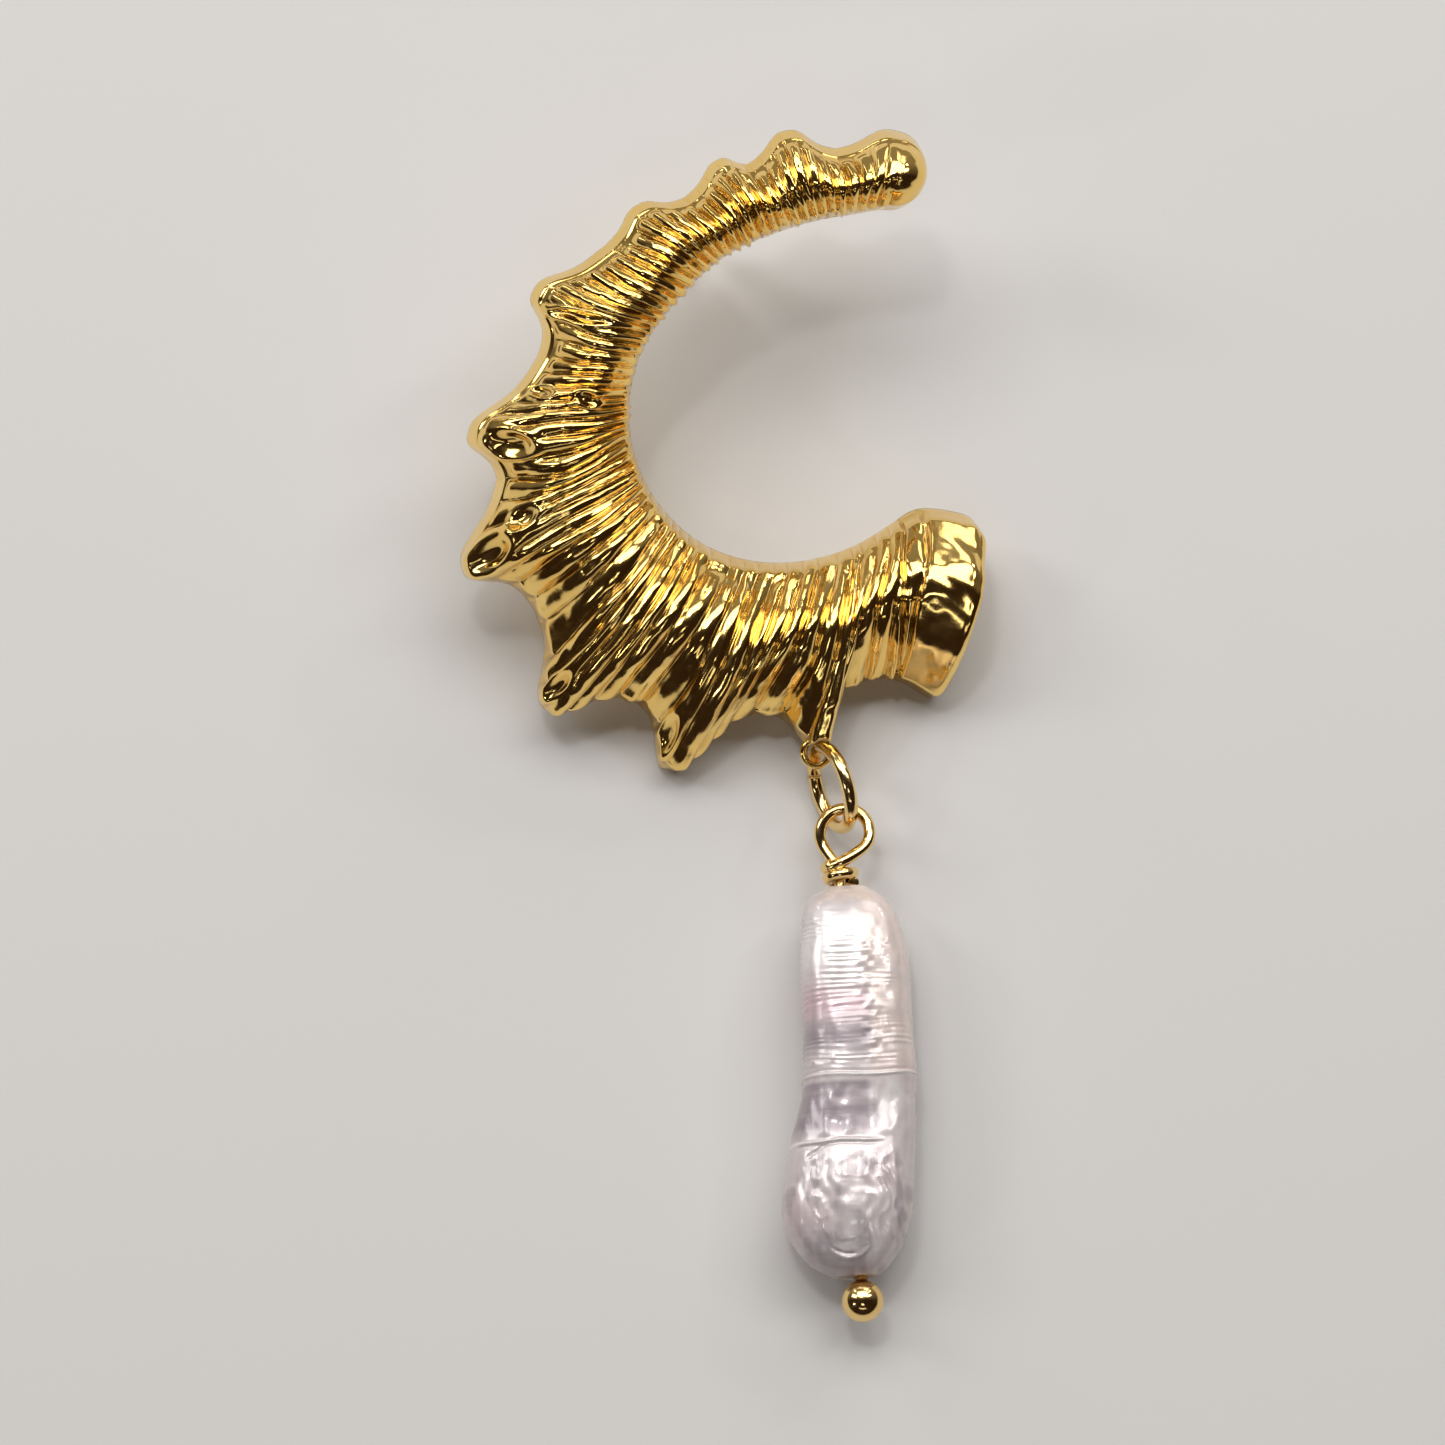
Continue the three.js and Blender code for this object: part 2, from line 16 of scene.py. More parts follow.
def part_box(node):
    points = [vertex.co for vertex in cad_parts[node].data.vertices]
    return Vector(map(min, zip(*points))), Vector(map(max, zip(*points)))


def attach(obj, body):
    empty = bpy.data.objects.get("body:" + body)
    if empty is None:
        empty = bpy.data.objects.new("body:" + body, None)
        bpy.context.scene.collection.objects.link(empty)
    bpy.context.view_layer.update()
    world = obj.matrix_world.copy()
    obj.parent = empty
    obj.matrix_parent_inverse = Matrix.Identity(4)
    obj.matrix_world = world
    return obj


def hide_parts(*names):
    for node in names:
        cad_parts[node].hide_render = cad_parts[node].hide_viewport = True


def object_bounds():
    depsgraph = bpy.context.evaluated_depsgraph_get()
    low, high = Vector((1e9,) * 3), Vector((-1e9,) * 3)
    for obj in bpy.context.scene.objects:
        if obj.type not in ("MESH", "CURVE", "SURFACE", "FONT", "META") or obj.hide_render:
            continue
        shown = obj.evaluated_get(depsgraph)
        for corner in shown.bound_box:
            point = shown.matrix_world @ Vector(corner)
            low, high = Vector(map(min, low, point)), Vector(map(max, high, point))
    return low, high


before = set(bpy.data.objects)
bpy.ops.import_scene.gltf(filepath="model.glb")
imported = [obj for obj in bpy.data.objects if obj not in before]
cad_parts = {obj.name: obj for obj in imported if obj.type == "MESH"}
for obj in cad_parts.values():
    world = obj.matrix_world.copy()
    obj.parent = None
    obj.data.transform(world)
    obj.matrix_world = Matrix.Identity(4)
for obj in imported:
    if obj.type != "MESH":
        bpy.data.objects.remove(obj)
scene = bpy.context.scene
cad_low, cad_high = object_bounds()

MM = 0.001
TAU, QUARTER = 2 * math.pi, math.pi / 2


def named(columns, rows):
    """A table's rows, each with its values under the names of the columns."""
    return [Named(**dict(zip(columns, row))) for row in rows]


def by_column(columns, rows):
    """A table as a dictionary of its columns. The first is the key of the others."""
    return dict(zip(columns, np.array(rows, float).T))


# ---- Driving dimensions, as in the part's source ----

# The band, by the bearing of its outer side: the bearing of its inner side, their reaches,
# and the heights of its crest, its outer shelf and its inner rim.
BAND = by_column(("outer", "inner", "base", "hole", "crest", "shelf", "rim"), [
    (70, 66, 12.5, 10, 3.4, 1.5, 2.3),
    (83, 77, 12.05, 9.05, 2.9, 1.3, 2),
    (105, 97.5, 11.45, 8.1, 2.9, 1.4, 2),
    (125, 118, 11.2, 7.75, 3, 1.4, 2.05),
    (146, 141, 12.1, 7.6, 3.2, 1.4, 2.15),
    (171, 169, 12.85, 8.1, 3.5, 1.5, 2.3),
    (198, 195, 15.3, 8.5, 3.9, 1.6, 2.4),
    (222, 219, 16.65, 8.65, 4.15, 1.7, 2.3),
    (240, 241, 16.9, 8.6, 4.25, 1.8, 2.1),
    (262, 277, 15.7, 8.05, 4.2, 1.8, 2),
    (275, 292, 14.65, 7.87, 4.1, 1.8, 1.9),
    (286, 308, 14.35, 7.8, 4.1, 1.9, 2),
    (290.5, 318, 14.35, 8.2, 4.3, 2, 2.15),
    (294, 328.5, 14.15, 10.3, 4.5, 2.1, 2.3),
])
BAND_START, BAND_END, LIP_REACH = BAND["outer"][0], BAND["outer"][-1], BAND["base"][-1]
# Spikes: half widths before and after the bearing, and the thickness at the tip.
SPIKES = named(("bearing", "rise", "before", "after", "tip"), [
    (71.5, 1.3, 2.4, 1.35, 1.9),
    (94.1, 1.25, 1.3, 1.1, 1.3),
    (110.1, 0.9, 0.8, 1.1, 1.3),
    (131.2, 0.9, 1, 1.2, 1.3),
    (159.2, 1.65, 1.5, 1.2, 1.4),
    (186.9, 2.05, 1.5, 1.3, 1.5),
    (207.9, 2.6, 1.8, 1.3, 1.6),
    (231.8, 2.85, 1.6, 1.5, 1.7),
    (251.6, 3.1, 1.3, 1.6, 1.7),
    (273.6, 2.3, 1.3, 0.85, 3.2),
    (296.5, 2.5, 1.25, 2, 1.8),
])
FLANK_POWER = 3
HANGING_SPIKE = 9
REST_SPIKES = (8, 10)
BACK_EDGE, WALL_DRAUGHT, CREST_PLACE = 0.3, 0.35, 0.42
FRONT_CROWDING = 0.45  # how much the front's points crowd towards its two sides
UNDERCUT = Named(lift=1.9, start=3.4, end=0.6)
KNOB_LENGTH, LIP_BULGE, LIP_ROUND, LIP_BLEND, LIP_CORNER = 1.5, 0.5, 0.35, 14, 0.75
LIP_BOW = (1.15, 0.8)
POST = Named(x=-5.7, y=7.5, diameter=0.8, length=9.2, sunk=1.2)
POST_BEVEL = 0.06
EYE_PLACE = (0.94, -17.3, 2.5)
EYE = Named(radius=0.64, wire=0.38, through=3)
RING = Named(radius=2.0, wire=0.7, lean=-70, roll=73, cut=0.2, cut_at=232)
RING_CLEARANCE = 0.12
PIN_WIRE = 0.58
PIN_LOOP = Named(radius=1.21, side=0.35, above=1.91, hang=0.11, first=205, last=-35)
LOOP_STEPS, LOOP_LIFT = 8, 0.32
LOOP_START = ((0, -0.6, 0), (-0.02, 0.1, -0.1))
LOOP_END = ((0.1, 0.35, PIN_WIRE), (-0.5, 0.15, LOOP_LIFT))
PIN_WRAPS = Named(turns=1.6, pitch=0.5, radius=0.62, start=135, top=0.25)
WRAP_WAVES = Named(out=0.05, out_turn=2.3, up=0.04, up_turn=9)
STEM_TOP = 0.2
PIN_HEIGHT, PIN_BEARING, BALL_DIAMETER, LINK_GAP = 2.46, -87.2, 2.05, 0.13
# The pearl's half widths and depths down its length.
PEARL = by_column(("along", "left", "right", "up", "down"), [
    (0, 0.8, 1.3, 0.8, 0.9),
    (0.5, 1.5, 1.95, 1.35, 1.4),
    (1.2, 1.9, 2.5, 1.75, 1.9),
    (2.4, 2.05, 2.9, 2, 2.3),
    (4.2, 2.15, 3.15, 2.15, 2.5),
    (6.4, 2.15, 3.12, 2.2, 2.5),
    (9.3, 2.25, 3.2, 2.2, 2.45),
    (10.6, 2.5, 3.1, 2.15, 2.45),
    (12.4, 3.1, 3, 2.2, 2.5),
    (15, 3.55, 2.75, 2.3, 2.5),
    (16.6, 3.55, 2.5, 2.2, 2.3),
    (17.9, 2.9, 2, 1.75, 1.8),
    (18.7, 2.1, 1.35, 1.25, 1.3),
    (19.1, 1.3, 0.85, 0.85, 0.9),
])
PEARL_BORE, PEARL_SEAT, PEARL_TOP = 0.95, 0.15, -0.85
PEARL_FLATNESS, PEARL_FRONT_FLATNESS = 2.4, 3.0
BORE_OVERRUN = 1
PEARL_LENGTH = PEARL["along"][-1]
BALL_PLACE = PEARL_TOP - PEARL_LENGTH - PEARL_SEAT - BALL_DIAMETER / 2

# ---- Relief that only the dressed model has ----

# Ribs: pitch and height by bearing, and the widths of the plain edges beside them.
RIBS = by_column(("bearing", "pitch", "height", "outside", "inside"), [
    (70, 0.66, 0.2, 0.3, 0.1),
    (83, 0.62, 0.32, 0.26, 0.1),
    (105, 0.6, 0.41, 0.2, 0.08),
    (125, 0.62, 0.42, 0.24, 0.08),
    (146, 0.66, 0.42, 0.32, 0.1),
    (171, 0.68, 0.4, 0.34, 0.12),
    (198, 0.76, 0.36, 0.25, 0.25),
    (222, 0.88, 0.38, 0.08, 0.5),
    (240, 1, 0.4, 0.03, 0.75),
    (262, 1.05, 0.4, 0.02, 1.05),
    (275, 1.05, 0.38, 0.02, 1.15),
    (287, 0.95, 0.34, 0.02, 1.05),
    (294, 0.9, 0.26, 0.02, 0.9),
])
# Relief beside the lip, by distance back from it along the band's outer side: the plain
# band's width near the inner wall and near the outer one, the same for the hollow behind
# it, and their depths.
LIP_BAND = (0.85, 1.12)
LIP_HOLLOW = (1.75, 1.3)
LIP_GROOVE_DEPTH, LIP_HOLLOW_DEPTH = 0.17, 0.13
LIP_HOLLOW_BLEND, LIP_HOLLOW_START = 0.12, (-0.05, 0.1)
LIP_RIDGE = Named(height=0.12, width=0.09)
LIP_GROOVES = Named(offset=0.06, first=0.08, second=0.07)
EDGE_STEP = 0.08
RIB = Named(strength=0.78, sharpness=0.7, sunk=0.45)
FINE_RIB = Named(count=2.13, height=0.09, sharpness=0.8)
PLAIN_OUT = Named(start=0.75, blend=0.38)
PLAIN_IN = Named(start=0.5, ragged=1.4, blend=0.4)
# Shares of the ribs left on the inner edge of the upper and lower arm, on the knob and in
# the pits, and of the bumps left on the outer edge.
INNER_COVER, KNOB_COVER, PIT_COVER, EDGE_BUMPS = (0.85, 0.55), 0.25, 0.15, 0.2
HAMMERED = Named(knob=0.9, lip=1.1, lip_face=0.75)
PIT_RIM_WIDTH = 0.30

# Ring-shaped ridges round hollows, on the spikes and between them.
PITS = named(("x", "y", "long", "short", "turn", "rim", "depth"), [
    (-14.2, -2.25, 1.25, 0.7, -6, 0.2, 0.3),
    (-12.75, 0.2, 0.6, 0.3, 5, 0.13, 0.16),
    (-10.65, 0, 0.62, 0.4, -22, 0.13, 0.14),
    (-15.2, -7.75, 1.45, 0.68, 42, 0.2, 0.3),
    (-13.6, -5.85, 0.95, 0.42, 40, 0.14, 0.18),
    (-11, 3.95, 1.8, 0.34, -8, 0.1, 0.26),
    (-11.75, -14.1, 1.05, 0.4, 52, 0.14, 0.2),
    (-6.3, -16.5, 1.2, 0.42, 74, 0.14, 0.22),
])

# Noise: its height, the size of one feature in its two directions, and its seed. Sizes
# are in millimetres, in band widths where it runs across the band, and else in ribs.
FIELDS = dict(
    lean=(0.38, 2.6, 1 / 2, 11),
    fine_lean=(0.12, 0.9, 1 / 3, 12),
    strength=(0.3, 1 / 1.7, 1 / 2.2, 13),
    fine_strength=(0.07, 1 / 2.9, 0.5, 18),
    fine_rib=(0.6, 1.4, 1 / 2, 14),
    fine_rib_patches=(1, 1.7, 1 / 3.1, 15),
    ragged=(0.25, 1 / 2.3, 1, 16),
    hammer=(0.1, 1.15, 1.05, 17),
    bumps=(0.038, 1.2, 1.2, 19),
    fine_bumps=(0.012, 0.4, 0.9, 20),
    lip_band=(0.05, 1 / 5, 1, 21),
    lip_hollow=(0.06, 1 / 5, 1, 22),
    lip_depth=(0.5, 0.25, 1 / 7, 23),
    ring_sway=(0.7, 2.5, 1.5, 31),
    ring_spacing=(0.5, 1, 0.45, 43),
    ring_patches=(1, 1.4, 0.8, 32),
    ring_grain=(0.5, 0.5, 0.3, 44),
    back_sway=(1, 3, 2, 33),
    lumps=(0.05, 2, 2.6, 34),
    small_lumps=(0.022, 0.55, 0.9, 35),
    beads=(0.075, 0.24, 0.27, 36),
    dots=(0.06, 0.22, 0.22, 37),
    crease=(0.1, 0.7, 1, 38),
    wrinkle_bend=(0.35, 1.3, 1.5, 39),
    wrinkles=(1, 0.34, 1, 40),
    fine_wrinkles=(0.032, 0.15, 0.5, 41),
    mid_folds=(0.04, 0.35, 0.9, 42),
    tone_edge=(0.35, 1.2, 1.6, 51),
    fine_tone_edge=(0.15, 0.3, 0.5, 52),
    veins=(1, 0.5, 1.1, 53),
    pink_clouds=(1, 1.6, 2.4, 54),
    fine_veins=(0.6, 0.22, 0.5, 55),
)

NOISE_SIZE = 128  # features before it repeats
FINER = Named(share=0.5, rate=2.1, u=7.3, v=3.1)

# Spans over which an effect goes from none to full: bearings in degrees, places across
# the band in its widths, heights of noise, and else millimetres.
SPANS = dict(
    fine_ribs=(-0.3, 0.5), outer_edge=(0.05, 0.3), lower_arm=(190, 230), knob=(70.5, 75),
    lip_band=(0.1, 0.6), lip_hollow=(0.35, 0.95), lip_ridge=(0.15, 0.4), lip_face=(0.7, 1.1),
    pit_floor=(0.3, 0.95), pit_outside=(0.9, 1.5), hammered_edge=(0.05, 0.5),
    hammered_arm=(175, 225), hammered_lip=(279, 286), hammered_front=(0.35, 0.6),
    inner_wall_relief=(0, 0.4), outer_wall_relief=(0.35, 1), plain_wall=(0.1, 0.4),
    ring_left=(-0.6, 0.4), ring_right=(1.7, 2.3), rings_show=(-0.6, 0.8), dots=(1, 1.6),
    crease_bend=(0.8, 2.6), branch_in=(-1.3, -1), branch_out=(-2.5, -2),
    wrinkled_sides=(1.6, 2.6), crescent_sides=(0.6, 1), flatter_top=(0, 0.4),
    front_turn=(-0.25, 0.25), front_depth=(-0.6, 0.4),
    left_half=(0.5, 1.1), right_half=(0.6, 1.2), low_veins=(13, 14), veins=(-0.2, 0.6),
    pink_clouds=(0, 0.7), cream_end=(9.3, 9.8), top_cream=(0.2, 0.9),
    first_glint=(-2, -1.7), second_glint=(0.2, 1), margin=(0.72, 0.93),
    top_margin=(0.5, 1.4), bottom_margin=(17.8, 18.6),
)
# Zones: where each starts, is full, starts to fade and ends.
ZONES = dict(
    growth_rings=(1, 2.6, 9, 9.5), beads=(2.6, 3.4, 8, 9),
    second_crease=(-3, -2.3, 0.6, 1.5), mid_folds=(9.9, 10.4, 12.2, 12.7),
    wrinkles=(13, 13.8, 17.2, 18), whole=(0.1, 1.2, 18.4, 19),
    lilac=(9.7, 10, 12, 12.8),
)
# Bells: middle and width. Those called top, shoulder and shoulder_side place painted highlights on
# the pearl.
BELLS = dict(
    dots=(8.75, 0.22), lilac=(7.6, 0.9), pink=(6.1, 0.9), cream=(2.9, 0.5), top=(3.1, 1.6),
    shoulder=(10.4, 0.7), shoulder_side=(2, 0.7),
)

STATIONS, KNOB_ROWS, LIP_ROWS, LID_ROWS = 1000, 14, 6, 8
KNOB_SWEEP = 0.985  # of a quarter turn, so that the last ring isn't a point
LIP_NARROWING = 4  # of the lip's end, in its edge's radii
END_FADE = 1.2  # how fast the relief fades as a row shrinks
ALONG_START = 3  # where the hoop's noise starts, in millimetres
BACK_STEPS, BEND_STEPS, WALL_STEPS, FRONT_STEPS = 6, 4, 5, 58
END_RINGS, FIRST_END_RING = 5, 0.35
# Wires and bores: points along, points round, and how much of its radius an end rounds.
WIRES = dict(channel=(160, 32, 0.5), ring=(220, 36, 0.12), loop=(180, 28, 0.5),
             wraps=(140, 28, 0.3), stem=(40, 28, 0.5), bore=(8, 32, 0.5))
SPLINE_STEPS = 24
ASKEW = (0.31, 0.17, 0.93)  # a direction that no wire starts in
EYE_STEPS, EYE_SIDES, HOLE_SIDES, POST_SIDES = 96, 24, 48, 40
BALL_ROWS, BALL_SIDES, BALL_POLE = 40, 64, 0.02


# ---- Numbers ----

def lerp(a, b, t):
    return a + (b - a) * t


def ramp(value, low, high):
    t = np.clip((value - low) / (high - low), 0, 1)
    return t * t * (3 - 2 * t)


def angles(count):
    """A full turn in equal steps."""
    return np.arange(count) / count * TAU


def bell(value, middle, width):
    return np.exp(-((value - middle) / width) ** 2)


def smooth(table, at, column, key=None):
    """A column's value where the key column equals at, on a smooth curve."""
    keys, values = table[key or next(iter(table))], table[column]
    at = np.asarray(at, float)
    last = len(keys) - 1
    i = np.clip(np.searchsorted(keys[1:last], at, side="left"), 0, last - 1)
    span = keys[i + 1] - keys[i]
    t = np.clip((at - keys[i]) / span, 0, 1)
    before, after = np.maximum(i - 1, 0), np.minimum(i + 2, last)
    leaving = (values[i + 1] - values[before]) / (keys[i + 1] - keys[before]) * span
    arriving = (values[after] - values[i]) / (keys[after] - keys[i]) * span
    ease = t * t * (3 - 2 * t)
    bend = t * (1 - t) * ((1 - t) * leaving - t * arriving)
    return lerp(values[i], values[i + 1], ease) + bend


band, ribs, pearl_side = (partial(smooth, table) for table in (BAND, RIBS, PEARL))


def eased(name, value):
    """How far a value is through a named span, from 0 to 1."""
    return ramp(value, *SPANS[name])


def zone(name, value):
    """How far a value is inside a named zone, from 0 to 1."""
    start, full, fading, end = ZONES[name]
    return ramp(value, start, full) * (1 - ramp(value, fading, end))


def peak(name, value):
    """A named bell."""
    return bell(value, *BELLS[name])


def noise(u, v, seed):
    """Smooth noise from -1 to 1 with features one unit apart."""
    size = NOISE_SIZE
    grid = np.random.default_rng(seed).uniform(-1, 1, (size, size))
    u, v = np.broadcast_arrays(np.asarray(u, float), np.asarray(v, float))
    iu, iv = np.floor(u).astype(int), np.floor(v).astype(int)
    fu, fv = u - iu, v - iv
    fu, fv = fu * fu * (3 - 2 * fu), fv * fv * (3 - 2 * fv)
    a, b = grid[iu % size, iv % size], grid[(iu + 1) % size, iv % size]
    c, d = grid[iu % size, (iv + 1) % size], grid[(iu + 1) % size, (iv + 1) % size]
    return lerp(lerp(a, b, fu), lerp(c, d, fu), fv)


def field(name, u, v):
    """A named field of noise."""
    height, u_size, v_size, seed = FIELDS[name]
    return height * noise(u / u_size, v / v_size, seed)


def lumpy(name, u, v):
    """A named field of noise with a finer one on it."""
    height, u_size, v_size, seed = FIELDS[name]
    u, v = u / u_size, v / v_size
    finer = noise(FINER.rate * u + FINER.u, FINER.rate * v + FINER.v, seed + 1)
    return height * (noise(u, v, seed) + FINER.share * finer)


# ---- Meshes ----

def linked(name, data):
    thing = bpy.data.objects.new(name, data)
    scene.collection.objects.link(thing)
    return thing


def make_object(name, points, faces, material):
    """A mesh object from points in millimetres."""
    mesh = bpy.data.meshes.new(name)
    mesh.from_pydata([tuple(p) for p in np.asarray(points) * MM], [], faces)
    mesh.validate()
    mesh.shade_smooth()
    if material:
        mesh.materials.append(material)
    return linked(name, mesh)


def corners(thing):
    return np.array([v.co for v in thing.data.vertices])


def closed_rings(name, rings, matrix, material=None, looped=False):
    """A solid from rings of points, moved by a matrix. Each end is closed by a point in
    its middle, unless the rings are looped and so joined end to end."""
    rings = carried(rings, matrix)
    rows, sides, _ = rings.shape
    points, total = rings.reshape(-1, 3), rows * sides
    faces = []
    for a in range(0, total if looped else total - sides, sides):
        b = (a + sides) % total
        faces += [(a + s, a + (s + 1) % sides, b + (s + 1) % sides, b + s) for s in range(sides)]
    if not looped:
        points = np.concatenate([points, [rings[0].mean(0)], [rings[-1].mean(0)]])
        tail = total - sides
        faces += [(total, (s + 1) % sides, s) for s in range(sides)]
        faces += [(total + 1, tail + s, tail + (s + 1) % sides) for s in range(sides)]
    thing = make_object(name, points, faces, material)
    turn_outward(thing)
    return thing


def turn_outward(thing):
    """Turns a closed mesh right side out if it is inside out."""
    thing.data.calc_loop_triangles()
    tris = np.array([t.vertices for t in thing.data.loop_triangles])
    a, b, c = (corners(thing)[tris[:, k]] for k in range(3))
    if np.einsum("ij,ij->i", a, np.cross(b, c)).sum() < 0:
        thing.data.flip_normals()


def carried(points, matrix):
    """Points moved by a 4 x 4 matrix."""
    matrix = np.array(matrix)
    return points @ matrix[:3, :3].T + matrix[:3, 3]


def cut(thing, operation, rings, matrix, looped=False):
    """A Boolean with the solid that rings make, applied at once."""
    tool = closed_rings("tool", rings, matrix, looped=looped)
    modifier = thing.modifiers.new("cut", "BOOLEAN")
    modifier.operation, modifier.solver, modifier.object = operation, "MANIFOLD", tool
    bpy.context.view_layer.update()
    evaluated = thing.evaluated_get(bpy.context.evaluated_depsgraph_get())
    made = bpy.data.meshes.new_from_object(evaluated)
    thing.modifiers.clear()
    made.name = thing.name
    thing.data = made
    bpy.data.objects.remove(tool)


def spline(points, count):
    """A centripetal Catmull-Rom curve through the points, sampled evenly along its length."""
    points = np.asarray(points, float)
    ends = np.concatenate([[2 * points[0] - points[1]], points, [2 * points[-1] - points[-2]]])
    fine = []
    for i in range(len(points) - 1):
        p0, p1, p2, p3 = ends[i:i + 4]
        d0, d1, d2 = (math.sqrt(np.linalg.norm(b - a)) for a, b in ((p0, p1), (p1, p2), (p2, p3)))
        t1 = ((p1 - p0) / d0 - (p2 - p0) / (d0 + d1) + (p2 - p1) / d1) * d1
        t2 = ((p2 - p1) / d1 - (p3 - p1) / (d1 + d2) + (p3 - p2) / d2) * d1
        for t in np.linspace(0, 1, SPLINE_STEPS, endpoint=False):
            fine.append(p1 + t1 * t + (3 * (p2 - p1) - 2 * t1 - t2) * t ** 2
                        + (2 * (p1 - p2) + t1 + t2) * t ** 3)
    fine.append(points[-1])
    return evenly(np.array(fine), count)


def evenly(points, count):
    """The same line with its points evenly spaced."""
    steps = np.linalg.norm(np.diff(points, axis=0), axis=1)
    length = np.concatenate([[0], np.cumsum(steps)])
    at = np.linspace(0, length[-1], count)
    return np.stack([np.interp(at, length, points[:, k]) for k in range(3)], 1)


def wire_rings(shape, path, radius):
    """Rings round a path, with rounded ends. path: a function of the count of points."""
    count, sides, rounding = WIRES[shape]
    path = path(count)
    tangents = np.gradient(path, axis=0)
    tangents /= np.linalg.norm(tangents, axis=1)[:, None]
    normal = np.cross(tangents[0], ASKEW)
    normal /= np.linalg.norm(normal)
    turns = angles(sides)
    circles = []
    for tangent in tangents:
        normal = normal - tangent * (normal @ tangent)
        normal /= np.linalg.norm(normal)
        side = np.cross(tangent, normal)
        circles.append(np.cos(turns)[:, None] * normal + np.sin(turns)[:, None] * side)

    def end_rings(centre, forward, circle):
        rings = []
        for k in range(END_RINGS):
            sweep = (k + FIRST_END_RING) / (END_RINGS + FIRST_END_RING) * QUARTER
            size = radius * (1 - rounding * (1 - math.sin(sweep)))
            rings.append(centre + forward * (radius * rounding * math.cos(sweep)) + size * circle)
        return rings

    start = end_rings(path[0], -tangents[0], circles[0])
    along = [centre + radius * circle for centre, circle in zip(path, circles)]
    end = end_rings(path[-1], tangents[-1], circles[-1])
    return np.array(start + along + end[::-1])


def straight_path(start, end):
    """A path down the stem's line."""
    return partial(np.linspace, (0, start, 0), (0, end, 0))


def turned_rings(levels, sides):
    """Rings round the z axis, from their heights and radii."""
    turns = angles(sides)
    return np.array([np.stack([radius * np.cos(turns), radius * np.sin(turns),
                               height + 0 * turns], 1) for height, radius in levels])


# ---- Materials ----

# The gold's hollows: how much painted shade darkens them, how much rougher they are, and the
# painted shade's brown.
HOLLOW_SHADE_SHARE, HOLLOW_ROUGHNESS, HOLLOW_SHADE_COLOUR = 0.65, 0.12, (0.42, 0.19, 0.05, 1)
NACRE_CLOUDS = (0.80, 0.735, 0.73, 1), (0.72, 0.65, 0.655, 1)
STREAK_COLOUR, MOTTLE_COLOUR = (0.86, 0.79, 0.80, 1), (0.50, 0.42, 0.45, 1)
# The nacre's tones, each laid over those before it. The rim's tone and part of the lilac are
# painted shade, and the last is a painted highlight.
NACRE_LAYERS = named(("tone", "share", "colour"), [
    ("margin", 0.80, (0.60, 0.525, 0.515, 1)),
    ("cream", 0.80, (0.89, 0.75, 0.68, 1)),
    ("pink", 0.75, (0.60, 0.35, 0.41, 1)),
    ("lilac", 0.85, (0.225, 0.175, 0.215, 1)),
    ("bright", 0.85, (0.92, 0.90, 0.89, 1)),
])


class Nodes:
    """A short way to write a node tree."""

    def __init__(self, name):
        self.material = bpy.data.materials.new(name)
        self.material.use_nodes = True
        self.tree = self.material.node_tree
        self.shader = self.tree.nodes["Principled BSDF"]
        self.place = self.add("ShaderNodeTexCoord").outputs["Object"]

    def add(self, kind, settings=None, **inputs):
        node = self.tree.nodes.new(kind)
        for key, value in (settings or {}).items():
            setattr(node, key, value)
        for key, value in inputs.items():
            self.put(node.inputs[key.replace("_", " ")], value)
        return node

    def put(self, socket, value):
        if isinstance(value, bpy.types.NodeSocket):
            self.tree.links.new(value, socket)
        else:
            socket.default_value = value

    def set(self, **inputs):
        for key, value in inputs.items():
            self.put(self.shader.inputs[key.replace("_", " ")], value)

    def noise(self, scale, detail, roughness=0.5, vector=None):
        node = self.add("ShaderNodeTexNoise", Vector=vector or self.place, Scale=scale,
                        Detail=detail, Roughness=roughness)
        return node.outputs["Fac"]

    def span(self, value, low, high, to=(0.0, 1.0)):
        """The value's way from low to high, laid over the way from to[0] to to[1]."""
        node = self.add("ShaderNodeMapRange", Value=value)
        for socket, number in zip(node.inputs[1:5], (low, high, *to)):
            socket.default_value = number
        return node.outputs["Result"]

    def math(self, operation, a, b):
        node = self.add("ShaderNodeMath", {"operation": operation})
        self.put(node.inputs[0], a)
        self.put(node.inputs[1], b)
        return node.outputs[0]

    def mix(self, share, a, b):
        node = self.add("ShaderNodeMix", {"data_type": "RGBA"})
        colours = [s for s in node.inputs if s.type == "RGBA"]
        self.put(node.inputs["Factor"], share)
        self.put(colours[0], a)
        self.put(colours[1], b)
        return [s for s in node.outputs if s.type == "RGBA"][0]

    def bump(self, height, strength, distance, normal=None):
        node = self.add("ShaderNodeBump", Height=height, Strength=strength, Distance=distance)
        if normal:
            self.put(node.inputs["Normal"], normal)
        return node.outputs["Normal"]


